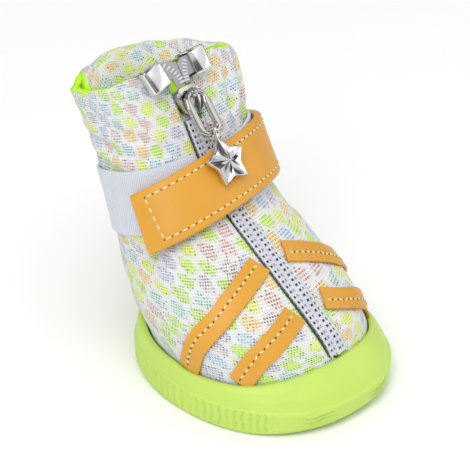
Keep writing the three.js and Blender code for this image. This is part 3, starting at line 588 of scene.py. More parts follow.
# The upper's outer surface at arrays of angles and rows.
def surface(angle, row):
    angle, row = np.broadcast_arrays(np.asarray(angle, float), np.asarray(row, float))
    shape = angle.shape
    angle, row = angle.ravel(), row.ravel()
    points = np.stack([formPoint(angle, i) for i in range(shaftTop + 1)])
    before = 2 * points[1] - points[2]
    after = 2 * points[shaftTop] - points[shaftTop - 1]
    i = np.clip(np.floor(row).astype(int), 0, shaftTop - 1)
    t = np.clip(row - i, 0, 1)[:, None]
    n = np.arange(len(row))
    p1, p2 = points[i, n], points[i + 1, n]
    p0 = np.where((i <= 1)[:, None], before, points[np.maximum(i - 1, 0), n])
    p3 = np.where((i + 2 > shaftTop)[:, None], after, points[np.minimum(i + 2, shaftTop), n])
    s1, s2 = (p2 - p0) / 2, (p3 - p1) / 2
    result = np.where((i < 1)[:, None], p1 * (1 - t) + p2 * t, curveBetween(t, p1, p2, s1, s2))
    high = row > shaftTop
    if high.any():
        result[high] = collarPoint(angle[high], row[high] - shaftTop, points[:, high])
    return result.reshape(*shape, 3)


def collarPoint(angle, share, points):
    wrapped = fromZip(angle)
    length = smoothTable(collarRows, wrapped, 1) * form["collarEdge"]
    roll = np.radians(smoothTable(collarRows, wrapped, 2))
    start = points[shaftTop]
    rise = start - points[shaftTop - 1]
    rise = rise / np.linalg.norm(rise, axis=1)[:, None]
    inward = np.array([*form["collarFold"], 0.0]) - start
    inward[:, 2] = 0
    inward = inward / np.linalg.norm(inward, axis=1)[:, None]
    steps = 12
    point = start.copy()
    for k in range(steps):
        turn = roll * share * (k + 0.5) / steps
        step = length * share / steps
        point += rise * (step * np.cos(turn))[:, None] + inward * (step * np.sin(turn))[:, None]
    return point


def surfaceFrame(angle, row):
    da, dr = 0.5, 0.02
    row = np.asarray(row, float)
    low = np.maximum(0, row - dr)
    around = (surface(angle + da, row) - surface(angle - da, row)) / (2 * da)
    rise = (surface(angle, row + dr) - surface(angle, low)) / (row + dr - low)[..., None]
    normal = np.cross(around, rise)
    return around, rise, normal / np.linalg.norm(normal, axis=-1)[..., None]


def offsetPoint(angle, row, distance):
    normal = surfaceFrame(angle, row)[2]
    return surface(angle, row) + normal * np.asarray(distance)[..., None]


# Creases of the cloth: from one place to another, with a width and a depth in millimetres.
creases = [
    # angle, row, angle, row, width, depth
    (-118, 8.9, -62, 8.35, 1.5, 0.75),
    (-128, 8.2, -78, 7.75, 1.3, 0.55),
    (-70, 9.35, -38, 8.7, 1.3, 0.6),
    (-52, 8.15, -20, 8.6, 1.2, 0.5),
    (-150, 9.2, -112, 9.6, 1.4, 0.6),
    (34, 8.2, 40, 10.2, 1.5, 0.9),
    (52, 7.9, 60, 10.3, 1.6, 1.0),
    (70, 8.1, 84, 10.2, 1.6, 0.9),
    (22, 9.3, 46, 8.4, 1.2, 0.5),
    (98, 8.3, 122, 9.8, 1.7, 0.8),
    (134, 8.0, 160, 9.4, 1.6, 0.7),
    (-98, 4.7, -60, 5.15, 1.8, 0.5),
    (-70, 4.25, -30, 5.0, 1.8, 0.4),
    (60, 4.9, 100, 4.6, 1.8, 0.5),
    (28, 5.0, 62, 4.5, 1.6, 0.4),
    (-152, 3.2, -118, 2.6, 2.0, 0.5),
    (-172, 4.6, -140, 4.2, 1.8, 0.5),
    (150, 4.4, 178, 4.8, 1.8, 0.5),
    (-120, 1.75, -80, 1.9, 1.6, 0.3),
    (-44, 1.5, -18, 1.75, 1.4, 0.3),
]
creaseScale = {"degree": 0.37, "row": 6.5}  # millimetres of cloth in a degree and in a row, near enough


def clothRelief(angle, row):
    wrapped = fromZip(angle)
    relief = 0.22 * np.sin(np.radians(wrapped * 5 + 40)) * np.sin(row * 1.7 + 0.6)
    relief += 0.14 * np.sin(np.radians(wrapped * 11)) * np.sin(row * 3.1 + np.radians(wrapped * 2))
    fade = np.clip((row - 1.15) / 0.6, 0, 1)
    beside = np.clip((np.abs(wrapped) - 10) / 8, 0, 1)
    for a0, r0, a1, r1, width, depth in creases:
        du, dv = (a1 - a0) * creaseScale["degree"], (r1 - r0) * creaseScale["row"]
        u, v = (wrapped - a0) * creaseScale["degree"], (row - r0) * creaseScale["row"]
        along = np.clip((u * du + v * dv) / (du * du + dv * dv), 0, 1)
        away = np.hypot(u - along * du, v - along * dv)
        taper = np.sin(np.pi * np.clip(along, 0.04, 0.96)) ** 0.6
        relief -= depth * taper * np.exp(-(away / width) ** 2)
        relief += 0.5 * depth * taper * np.exp(-((away - 1.9 * width) / width) ** 2)
    return relief * fade * beside


# Mesh helpers
def meshFrom(name, bm):
    mesh = bpy.data.meshes.new(name)
    bm.to_mesh(mesh)
    bm.free()
    return mesh


def lengthAlong(places):
    return np.concatenate([[0], np.cumsum(np.linalg.norm(np.diff(places, axis=0), axis=1))])


def readAlong(at, travelled, values):
    return np.stack([np.interp(at, travelled, column) for column in values.T], axis=-1)


# A frame with the given directions as its axes, at a place.
def frameOf(x, y, z, place):
    return Matrix((
        (x[0], y[0], z[0], place[0] * mm),
        (x[1], y[1], z[1], place[1] * mm),
        (x[2], y[2], z[2], place[2] * mm),
        (0, 0, 0, 1),
    ))


def gridPiece(name, across, upward, pointAt, clothAt=None, materials=(), closed=False, rimOpen=False):
    # A grid operator gives the faces, and each corner is laid at its place on the form.
    bm = bmesh.new()
    bmesh.ops.create_grid(bm, x_segments=across, y_segments=upward, size=0.5)
    bm.verts.ensure_lookup_table()
    flat = np.array([v.co[:2] for v in bm.verts]) + 0.5
    u, v = flat[:, 0], flat[:, 1]
    places = pointAt(u, v) * mm
    cloth = clothAt(u, v) if clothAt else np.stack([u, v], axis=-1)
    layer = bm.loops.layers.uv.new("cloth")
    for face in bm.faces:
        face.smooth = True
        for loop in face.loops:
            loop[layer].uv = cloth[loop.vert.index]
    for vert, place in zip(bm.verts, places):
        vert.co = place
    if closed:
        bmesh.ops.remove_doubles(bm, verts=bm.verts, dist=1e-6)
    if closed and not rimOpen:
        bmesh.ops.holes_fill(bm, edges=[e for e in bm.edges if e.is_boundary], sides=0)
        bmesh.ops.recalc_face_normals(bm, faces=bm.faces)
    return addPiece(name, meshFrom(name, bm), materials)


def addPiece(name, mesh, materials):
    piece = bpy.data.objects.new(name, mesh)
    bpy.context.scene.collection.objects.link(piece)
    for material in materials:
        mesh.materials.append(material)
    return piece


def addModifier(piece, kind, **settings):
    modifier = piece.modifiers.new(kind.lower(), kind)
    for key, value in settings.items():
        setattr(modifier, key, value)
    return modifier


def settle(piece, body, slot, *nodes):
    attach(piece, body)
    if nodes:
        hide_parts(*nodes)
    return piece


def smoothFaces(bm):
    for face in bm.faces:
        face.smooth = True


# A little sewn stitch: a round-ended bar that is pressed into the surface.
def addStitch(bm, place, along, normal, length, width):
    side = np.cross(normal, along)
    matrix = frameOf(along, side, normal, place)
    shape = Matrix.Diagonal((length * mm / 2, width * mm / 2, width * mm * 0.42, 1))
    bmesh.ops.create_uvsphere(bm, u_segments=6, v_segments=5, radius=1, matrix=matrix @ shape)


def stitchRow(name, places, normals, sizes, material, body, slot, start=0.5):
    bm = bmesh.new()
    travelled = lengthAlong(places)
    count = max(1, int(travelled[-1] / sizes["pitch"]))
    for k in range(count):
        at = (k + start) / count * travelled[-1]
        place, normal = readAlong(at, travelled, places), readAlong(at, travelled, normals)
        ahead = readAlong(at + 0.4, travelled, places)
        behind = readAlong(at - 0.4, travelled, places)
        along = (ahead - behind) / np.linalg.norm(ahead - behind)
        normal = normal - along * normal.dot(along)
        normal /= np.linalg.norm(normal)
        swing = math.radians(sizes.get("slant", 0) * (1 if k % 2 else -1))
        side = np.cross(normal, along)
        along = along * math.cos(swing) + side * math.sin(swing)
        addStitch(bm, place, along, normal, sizes["length"], sizes["width"])
    smoothFaces(bm)
    return settle(addPiece(name, meshFrom(name, bm), [material]), body, slot)


# Upper: one cloth that runs from one edge of the zip round the heel to the other
upper = {
    "across": 250, "upward": 150, "wall": 2.0, "slit": 2.8, "slitStart": 0.9, "rows": 11.0,
    "clothRound": 162, "clothRow": 6.6,
}


def slitAngle(row):
    side = surface(np.full_like(row, 90.0), row)[:, 1]
    opened = np.clip((row - upper["slitStart"]) / 0.15, 0, 1)
    return np.degrees(np.arcsin(np.clip(upper["slit"] / side, 0, 1))) * opened + 0.02


def upperPlace(u, v):
    row = np.interp(v, [0, 0.03, 0.08, 0.8, 1.0], [0.3, 0.7, 1.0, 10.0, upper["rows"]])
    slit = slitAngle(row)
    angle = slit + u * (360 - 2 * slit)
    return angle, row


def upperPoint(u, v):
    angle, row = upperPlace(u, v)
    relief = clothRelief(angle, np.minimum(row, 10.6))
    return offsetPoint(angle, row, relief)


def upperCloth(u, v):
    angle, row = upperPlace(u, v)
    wrapped = fromZip(angle)
    rollLength = smoothTable(collarRows, wrapped, 1) * form["collarEdge"]
    up = np.minimum(row, shaftTop) * upper["clothRow"] + np.maximum(row - shaftTop, 0) * rollLength
    return np.stack([angle / 360 * upper["clothRound"], up], axis=-1)


def makeUpper():
    piece = gridPiece("meshUpper", upper["across"], upper["upward"], upperPoint, upperCloth,
                      [meshKnit, lining, edgeTape])
    addModifier(piece, "SOLIDIFY", thickness=upper["wall"] * mm, offset=-1.0, use_even_offset=True,
                material_offset=1, material_offset_rim=2, use_rim=True)
    return settle(piece, "boot", "mesh_fabric", "upper")


makeUpper()
print("upper made")

# Sole: a ribbed wall that goes over the rim and down into the cup, a tread below and a floor in the cup
sole = {
    "ribPitch": 1.8, "ribDepth": 0.75, "ribTop": 6.4, "ribEnd": 44.0, "footprint": 2.4, "rounding": 1.1,
    "toeSpring": (2.0, 15.0), "heelSpring": (0.8, 24.0), "lugPitch": 6.4, "lugGroove": 1.6, "lugDepth": 1.4,
    "lugWave": 2.2, "lugWaveLength": 8.0, "lugBorder": 4.5, "pointsRound": 720,
    "toeWaveCentres": (-24, 12), "toeWaveLow": 2.4, "toeWavePitch": 1.4, "toeWaveRise": 0.55,
}


def springLift(x):
    half = form["soleLength"] / 2
    toe = np.clip((x - sole["toeSpring"][1]) / (half - sole["toeSpring"][1]), 0, 1)
    heel = np.clip((-x - sole["heelSpring"][1]) / (half - sole["heelSpring"][1]), 0, 1)
    return sole["toeSpring"][0] * toe**2 + sole["heelSpring"][0] * heel**2


# The wall's profile: share up the strip, inset at the side, height; the rim's own values come by angle.
def wallProfile(v, angle):
    top, inset = rimHeight(angle), rimInset(angle)
    rib = sole["ribTop"]
    stops = [0.0, 0.05, 0.10, 0.30, 0.34, 0.38, 0.56, 0.68, 0.74, 0.77, 0.80, 0.84, 1.0]
    lean = lambda share: inset * share**1.6
    insets = [
        sole["footprint"] + 0 * top, 0.55 + 0 * top, 0.15 + 0 * top, 0 * top, 0.12 + 0 * top, 0.55 + 0 * top,
        0.45 + lean(0.42), 0.3 + lean(0.8), inset + 0.05, inset + 0.35, inset + 0.9, inset + form["rimWall"],
        cupFloorInset + 0 * top,
    ]
    heights = [
        0 * top, 0.35 + 0 * top, 1.1 + 0 * top,
        rib - 0.4 + 0 * top, rib + 0.05 + 0 * top, rib + 0.35 + 0 * top,
        rib + (top - rib) * 0.42, rib + (top - rib) * 0.78, top - 0.55, top - 0.12, top, top - 0.2,
        form["floor"] + 0 * top,
    ]
    insets, heights = np.array(insets), np.array(heights)
    i = np.clip(np.searchsorted(stops, v, side="right") - 1, 0, len(stops) - 2)
    stops = np.array(stops)
    t = (v - stops[i]) / (stops[i + 1] - stops[i])
    n = np.arange(len(v))
    mix = lambda table: table[i, n] * (1 - t) + table[i + 1, n] * t
    return mix(insets), mix(heights)


def ribRelief(angle, height):
    # Round ribs side by side, a little wavy, from the heel round to either side of the toe.
    wrapped = fromZip(angle)
    turn = np.radians(wrapped)
    reach = 30.0 * turn + 1.6 * np.sin(2 * turn)
    wave = 0.16 * np.sin(height * 1.7 + reach * 0.35)
    phase = np.abs(((reach + wave) / sole["ribPitch"]) % 1 - 0.5) * 2
    rib = np.sqrt(np.clip(1 - phase**2, 0, 1))
    low = np.clip((height - 0.5) / 0.8, 0, 1)
    high = np.clip((sole["ribTop"] + 0.15 - height) / 0.5, 0, 1)
    there = np.clip((np.abs(wrapped) - sole["ribEnd"]) / 3, 0, 1)
    return (1 - rib) * sole["ribDepth"] * low * high * there


# Three soft waves in relief at either side of the toe's lower front.
def toeWaves(angle, height):
    wrapped = fromZip(angle)
    relief = np.zeros_like(wrapped)
    for centre in sole["toeWaveCentres"]:
        for k in range(3):
            ripple = 0.36 * np.sin(np.radians((wrapped - centre) * 24))
            line = sole["toeWaveLow"] + sole["toeWavePitch"] * k + ripple
            near = np.exp(-((height - line) / 0.32) ** 2)
            span = np.clip(1 - np.abs(wrapped - centre) / 10, 0, 1) ** 0.5
            relief += sole["toeWaveRise"] * near * span
    return relief


def solePlace(u, v):
    angle = u * 360
    inset, height = wallProfile(v, angle)
    lift = np.clip(1 - height / sole["ribTop"], 0, 1)
    inside = v > 0.84
    cut = np.where(inside, 0, ribRelief(angle, height) - toeWaves(angle, height))
    point = solePoint(angle, inset + cut, height)
    point[:, 2] += np.where(inside, 0, springLift(point[:, 0]) * lift)
    return point


# The tread: wavy grooves across the sole, between which the lugs stand.
def treadPlace(u, v):
    angle = u * 360
    rim = solePoint(angle, sole["footprint"], np.zeros_like(angle))
    point = rim * (1 - v)[:, None]
    x, y = point[:, 0], point[:, 1]
    wave = (np.abs(((y / sole["lugWaveLength"]) % 2) - 1) - 0.5) * sole["lugWave"]
    phase = np.abs(((x + wave) / sole["lugPitch"] + 0.5) % 1 - 0.5) * sole["lugPitch"]
    edge = np.linalg.norm(solePoint(angle, 0, 0 * angle) - point, axis=1)
    border = np.clip((edge - sole["lugBorder"]) / 0.5, 0, 1)
    groove = np.clip((sole["lugGroove"] / 2 - phase) / 0.35 + 0.5, 0, 1)
    point[:, 2] = springLift(x) + sole["lugDepth"] * groove * border
    return point


def cupFloorPlace(u, v):
    return solePoint(u * 360, cupFloorInset + v * (form["ballWidth"] / 2 - cupFloorInset - 0.02),
                     np.full_like(u, form["floor"]))


def makeSole():
    # Wall, tread and cup floor meet at the same corners, so they become one closed piece.
    around = sole["pointsRound"]
    bm = bmesh.new()
    parts = (("wall", 62, solePlace), ("tread", 60, treadPlace), ("floor", 4, cupFloorPlace))
    for name, upward, pointAt in parts:
        part = gridPiece(name, around, upward, pointAt, None, [], closed=True, rimOpen=True)
        bm.from_mesh(part.data)
        bpy.data.meshes.remove(part.data)
    bmesh.ops.remove_doubles(bm, verts=bm.verts, dist=2e-6)
    bmesh.ops.holes_fill(bm, edges=[e for e in bm.edges if e.is_boundary], sides=0)
    bmesh.ops.recalc_face_normals(bm, faces=bm.faces)
    settle(addPiece("soleCup", meshFrom("soleCup", bm), [rubber]), "boot", "lime_rubber", "outsole")


makeSole()
print("sole made")

# Insole: a soft pad with a rolled edge
insolePad = {"low": 5.3, "thick": 1.6, "edge": 0.7, "dish": 0.25, "upperWall": 2.2, "wallHeight": 3.2}


def insolePlace(u, v):
    angle = u * 360
    rise = rimHeight(angle) - form["floor"]
    leaning = (cupInset(angle) - cupFloorInset) * insolePad["wallHeight"] / rise
    wallInset = np.maximum(cupFloorInset, cupFloorInset + leaning)
    edge = wallInset + insolePad["upperWall"] + 2.5 * gap
    turn = np.clip(v / 0.2, 0, 1) * np.pi
    inward = np.clip((v - 0.2) / 0.8, 0, 1) * (form["ballWidth"] / 2 - edge - 0.75)
    inset = edge + insolePad["edge"] * (1 - np.sin(turn)) + inward
    height = insolePad["low"] + insolePad["thick"] / 2 * (1 - np.cos(turn))
    height = height - insolePad["dish"] * np.clip((v - 0.2) / 0.3, 0, 1)
    return solePoint(angle, inset, height)


insolePiece = gridPiece("insolePad", 120, 40, insolePlace, None, [lining], closed=True)
settle(insolePiece, "boot", "lime_lining", "insole")
print("insole made")


# Places on the form
def alongPath(path, count):
    path = np.array(path, float)
    at = np.linspace(0, len(path) - 1, count + 1)
    i = np.minimum(at.astype(int), len(path) - 2)
    t = (at - i)[:, None]
    last = len(path) - 1
    p0, p1, p2, p3 = (path[np.clip(i + k, 0, last)] for k in (-1, 0, 1, 2))
    s1, s2 = (p2 - p0) / 2, (p3 - p1) / 2
    places = curveBetween(t, p1, p2, s1, s2)
    return places[:, 0], places[:, 1]


def pathDirection(angle, row):
    places = surface(angle, row)
    step = np.gradient(places, axis=0)
    return step / np.linalg.norm(step, axis=1)[:, None]


def beside(angle, row, direction, distance):
    around, rise, normal = surfaceFrame(angle, row)
    across = np.cross(normal, direction)
    across /= np.linalg.norm(across, axis=-1)[..., None]
    dot = lambda first, second: (first * second).sum(-1)
    a, b, c = dot(around, around), dot(around, rise), dot(rise, rise)
    p, q = dot(around, across) * distance, dot(rise, across) * distance
    whole = a * c - b * b
    return angle + (p * c - q * b) / whole, row + (q * a - p * b) / whole


# A band laid on the cloth: its section is a closed loop with rounded edges.
def bandLoop(width, thick, rounding):
    half = width / 2 - rounding
    side = thick / 2 - rounding
    corner = 5
    loop = []
    for start, x in ((0, half), (90, -half), (180, -half), (270, half)):
        y = side if start in (0, 90) else -side
        for k in range(corner + 1):
            turn = math.radians(start + 90 * k / corner)
            loop.append((x + rounding * math.cos(turn), y + rounding * math.sin(turn)))
    fine = []
    for k, (x, y) in enumerate(loop):
        nx, ny = loop[(k + 1) % len(loop)]
        steps = max(1, int(math.hypot(nx - x, ny - y) / 1.4))
        fine += [(x + (nx - x) * s / steps, y + (ny - y) * s / steps) for s in range(steps)]
    return np.array(fine + [fine[0]])


def bandPiece(name, layAt, count, width, thick, rounding, materials, length):
    loop = bandLoop(width, thick, rounding)
    ends = 5
    total = count + 2 * ends

    def pointAt(u, v):
        k = np.rint(v * total).astype(int)
        j = np.rint(u * (len(loop) - 1)).astype(int)
        station = np.clip(k - ends, 0, count)
        past = np.where(k > count + ends, (k - count - ends) / ends, 0)
        close = np.where(k < ends, (ends - k) / ends, past)
        turn = close * np.pi / 2
        shrink = np.where(close >= 1, 0.0, 1 - (1 - np.cos(turn)) * min(1, 2 * rounding / thick) * 0.999)
        x = loop[j, 0] * np.where(close >= 1, 0, 1 - (1 - shrink) * rounding * 2 / width)
        y = loop[j, 1] * np.where(close >= 1, 0, shrink)
        place = layAt(station, x, y)
        following, before = np.clip(station + 1, 0, count), np.clip(station - 1, 0, count)
        ahead = layAt(following, x, y) - layAt(before, x, y)
        ahead /= np.linalg.norm(ahead, axis=1)[:, None]
        way = np.where(k < ends, -1, np.where(k > count + ends, 1, 0))
        return place + ahead * (np.minimum(np.sin(turn), 1) * rounding * way)[:, None]

    def clothAt(u, v):
        j = np.rint(u * (len(loop) - 1)).astype(int)
        return np.stack([v * length, loop[j, 0]], axis=-1)

    return gridPiece(name, len(loop) - 1, total, pointAt, clothAt, materials, closed=True)


def layingPlace(path, count, middle):
    angle, row = alongPath(path, count)
    direction = pathDirection(angle, row)

    def layAt(station, x, y):
        a, r = beside(angle[station], row[station], direction[station], x)
        return offsetPoint(a, r, middle + y)

    return layAt


# Stripes: four slanting strips of leather at the toe
stripe = {"width": 5.8, "thick": 0.8, "count": 40, "rounding": 0.3, "seam": -0.55}
stripeThread = {"pitch": 1.75, "length": 1.15, "width": 0.5, "slant": 24}
stripeHoles = {"pitch": 1.75, "length": 0.62, "width": 0.5, "slant": 24}
stripePaths = {
    "rear": [(10.5, 4.45), (26, 4.05), (46, 3.4), (67, 2.45), (88, 1.06)],
    "front": [(10.5, 3.0), (23, 2.6), (41, 1.94), (61, 1.06)],
}


def makeStripes():
    for position, path in stripePaths.items():
        for label, side in (("left", 1), ("right", -1)):
            node = "stripe_%s_%s" % (position, label)
            mirrored = [(angle * side, row) for angle, row in path]
            middle = gap + stripe["thick"] / 2
            layAt = layingPlace(mirrored, stripe["count"], middle)
            piece = bandPiece(
                "leatherStrip.%s.%s" % (position, label), layAt, stripe["count"], stripe["width"],
                stripe["thick"], stripe["rounding"], [leather], 30,
            )
            settle(piece, "boot", "orange_leather", node)
            stations = np.arange(1, stripe["count"] - 1)
            x = np.full(len(stations), stripe["seam"])
            lift = stripe["thick"] / 2 + 0.05
            places = layAt(stations, x, np.full(len(stations), lift))
            normals = places - layAt(stations, x, np.full(len(stations), lift - 0.5))
            stitchRow("stripStitch.%s.%s" % (position, label), places, normals, stripeThread, paleThread,
                      "boot", "orange_leather")
            # Dark brown discs between the stitches: painted shade in the needle holes.
            stitchRow("stripHoleShade.%s.%s" % (position, label), places - normals * 0.1, normals, stripeHoles,
                      needleHoleShade, "boot", "orange_leather", start=1.0)


makeStripes()
print("stripes made")

# The band for the hooks, from one side of the zip round the heel to the other
bandPath = [
    (350, 7.08), (325, 6.98), (300, 6.82), (271, 6.6), (240, 6.35), (210, 6.1), (180, 6.05), (150, 6.25),
    (120, 6.55), (90, 6.85), (60, 6.98), (34, 7), (12, 7),
]
band = {"width": 15.6, "thick": 0.9, "count": 150}
bandLay = layingPlace(bandPath, band["count"], gap + band["thick"] / 2)
bandObject = bandPiece("loopBand", bandLay, band["count"], band["width"], band["thick"], 0.4, [webbing], 118)
settle(bandObject, "boot", "pale_band", "loop_band")
print("band made")

# Strap: stiff across, so it stands clear of the hollow of the instep
strapPath = [
    (206, 5.8), (180, 5.9), (150, 6.15), (120, 6.5), (90, 6.8), (60, 7),
    (30, 7.08), (5, 7), (-20, 6.82), (-45, 6.52), (-70, 6.12),
]
strap = {"width": 14.6, "thick": 1.9, "count": 132, "below": 1.2 + 1.5 * gap}


def strapLay():
    count = strap["count"]
    angle, row = alongPath(strapPath, count)
    direction = pathDirection(angle, row)
    normal = surfaceFrame(angle, row)[2]
    across = np.cross(normal, direction)
    across /= np.linalg.norm(across, axis=1)[:, None]
    middle = surface(angle, row)
    lift = np.full(count + 1, -1e9)
    for j in range(9):
        a, r = beside(angle, row, direction, strap["width"] * 0.54 * (j / 4 - 1))
        height = ((offsetPoint(a, r, np.full(count + 1, strap["below"])) - middle) * normal).sum(1)
        lift = np.maximum(lift, height)
    lift = np.array([lift[max(0, k - 3):k + 4].max() for k in range(count + 1)])
    lift = np.convolve(np.pad(lift, 3, mode="edge"), np.ones(7) / 7, mode="valid") + 0.05

    def layAt(station, x, y):
        sag = 0.12 * np.cos(np.pi * x / strap["width"])
        return middle[station] + across[station] * x[:, None] \
            + normal[station] * (lift[station] + strap["thick"] / 2 + y + sag)[:, None]

    return layAt


strapAt = strapLay()
strapPiece = bandPiece("leatherStrap", strapAt, strap["count"], strap["width"], strap["thick"], 0.55,
                       [leather], 110)
settle(strapPiece, "boot", "orange_leather", "strap")


def strapStitches():
    thread = {"pitch": 2.1, "length": 1.5, "width": 0.48}
    holes = {"pitch": 2.1, "length": 0.5, "width": 0.42}
    lift = strap["thick"] / 2 + 0.04
    edge = strap["width"] / 2 - 1.9
    stations = np.arange(6, strap["count"] - 6)
    for label, x in (("upper", edge), ("lower", -edge)):
        across = np.full(len(stations), x)
        places = strapAt(stations, across, np.full(len(stations), lift))
        normals = places - strapAt(stations, across, np.full(len(stations), lift - 0.5))
        stitchRow("strapStitch." + label, places, normals, thread, creamThread, "boot", "orange_leather")
        # Dark brown discs between the stitches: painted shade in the needle holes.
        stitchRow("strapHoleShade." + label, places - normals * 0.08, normals, holes, needleHoleShade, "boot",
                  "orange_leather", start=1.0)
    # Across the fastened end, and a crossed box at the sewn start
    seams = {
        "end": (strap["count"] - 7, -edge, strap["count"] - 7, edge),
        "start": (6, -edge, 6, edge), "startInner": (19, -edge, 19, edge),
        "crossUp": (7, -edge + 1, 18, edge - 1), "crossDown": (7, edge - 1, 18, -edge + 1),
    }
    for label, (fromStation, fromX, toStation, toX) in seams.items():
        count = 30
        at = np.linspace(fromStation, toStation, count)
        x = np.linspace(fromX, toX, count)
        low, high = np.floor(at).astype(int), np.ceil(at).astype(int)
        part = (at - low)[:, None]

        def place(up):
            height = np.full(count, up)
            return strapAt(low, x, height) * (1 - part) + strapAt(high, x, height) * part

        places = place(lift)
        stitchRow("strapStitch." + label, places, places - place(lift - 0.5), thread, creamThread, "boot",
                  "orange_leather")


strapStitches()
print("strap made")

# Zip: tape behind, coils in the slit, slider, ends and clamps
zipSizes = {
    "chainWidth": 5.0, "pitch": 1.5, "start": 1.04, "sliderRow": 9.9, "sliderLength": 7.2, "sliderTop": 2.2,
    "sliderWidth": 7.4, "sliderNarrow": 0.74, "sliderShoulder": 0.35, "sliderFoot": (0.94, 0.86),
    "plateLow": 1.0, "plate": 1.1, "bridgeHeight": 2.6, "bridgeWall": 0.7, "bridgeWidth": 1.8,
    "clampLength": 7.0, "clampHeight": 6.4, "clampThick": 2.6, "clampWall": 0.6,
}
zipCoil = {
    # A coil is a short bar, and the knob at its inner end holds the coil beside it.
    "away": 0.98, "bar": (2.9, 0.94, 1.05), "knob": (0.62, 0.42, 0.56), "knobReach": 1.1, "knobRise": 0.08,
    "rounding": 0.2,
}


def zipLine(row, side, distance):
    normal = surfaceFrame(np.zeros_like(row), row)[2]
    place = surface(np.zeros_like(row), row) + normal * distance[:, None]
    place[:, 1] += side
    return place, normal


sliderMiddle = surface(np.array([0.0]), np.array([zipSizes["sliderRow"]]))[0]
zipRows = np.linspace(zipSizes["start"], zipSizes["sliderRow"], 800)
zipPlaces = surface(np.zeros(800), zipRows)
fromSlider = np.linalg.norm(zipPlaces - sliderMiddle, axis=1)
chainEnd = zipRows[np.where(fromSlider > zipSizes["sliderLength"] - zipSizes["sliderTop"] + 2 * gap)[0][-1]]


def makeZipChain():
    rows = np.linspace(zipSizes["start"], chainEnd, 400)
    places, normals = zipLine(rows, np.zeros(400), np.full(400, 0.1))
    travelled = lengthAlong(places)
    count = int(travelled[-1] / (zipSizes["pitch"] / 2))
    bm = bmesh.new()
    for k in range(count):
        at = (k + 0.5) * zipSizes["pitch"] / 2
        place, normal = readAlong(at, travelled, places), readAlong(at, travelled, normals)
        along = readAlong(at + 0.3, travelled, places) - place
        along /= np.linalg.norm(along)
        side = np.cross(normal, along)
        side /= np.linalg.norm(side)
        way = 1 if k % 2 else -1
        matrix = frameOf(side, along, normal, place + side * way * zipCoil["away"])
        size = Matrix.Diagonal([length * mm for length in zipCoil["bar"]] + [1])
        bmesh.ops.create_cube(bm, size=1, matrix=matrix @ size)
        knob = Matrix.Diagonal([length * mm for length in zipCoil["knob"]] + [1])
        inwards = Matrix.Translation((-way * zipCoil["knobReach"] * mm, 0, zipCoil["knobRise"] * mm))
        head = matrix @ inwards @ knob
        bmesh.ops.create_uvsphere(bm, u_segments=6, v_segments=4, radius=1, matrix=head)
    sharp = [e for e in bm.edges if e.calc_face_angle(0) > 1.2]
    bmesh.ops.bevel(bm, geom=sharp, offset=zipCoil["rounding"] * mm, offset_type="OFFSET", affect="EDGES",
                    segments=2, profile=0.5, material=-1)
    bmesh.ops.recalc_face_normals(bm, faces=bm.faces)
    smoothFaces(bm)
    settle(addPiece("zipCoils", meshFrom("zipCoils", bm), [zipTeeth]), "boot", "zip_coil", "zip_chain")


def zipStripPiece(name, low, high, half, distance, thick, materials):
    def pointAt(u, v):
        row = low + v * (high - low)
        x = (u * 2 - 1) * half
        return zipLine(row, x, np.full_like(row, distance))[0]

    clothAt = lambda u, v: np.stack([u * 2 * half, v * 60], axis=-1)
    piece = gridPiece(name, 8, 90, pointAt, clothAt, materials)
    addModifier(piece, "SOLIDIFY", thickness=thick * mm, offset=-1.0)
    return piece


zipTapes = {
    "backHalf": 2.5, "topHalf": 2.75, "edgeAway": 2.42, "edgeSize": (0.26, 0.3), "edgeHeight": 0.42,
    "threadAway": 1.38, "threadRadius": 0.22, "threadHeight": 0.58, "threadTwist": 0.05, "threadTurns": 60,
    "liningHalf": 7.0, "liningThick": 0.7, "liningStart": 0.36, "upperWall": 2.2,
}


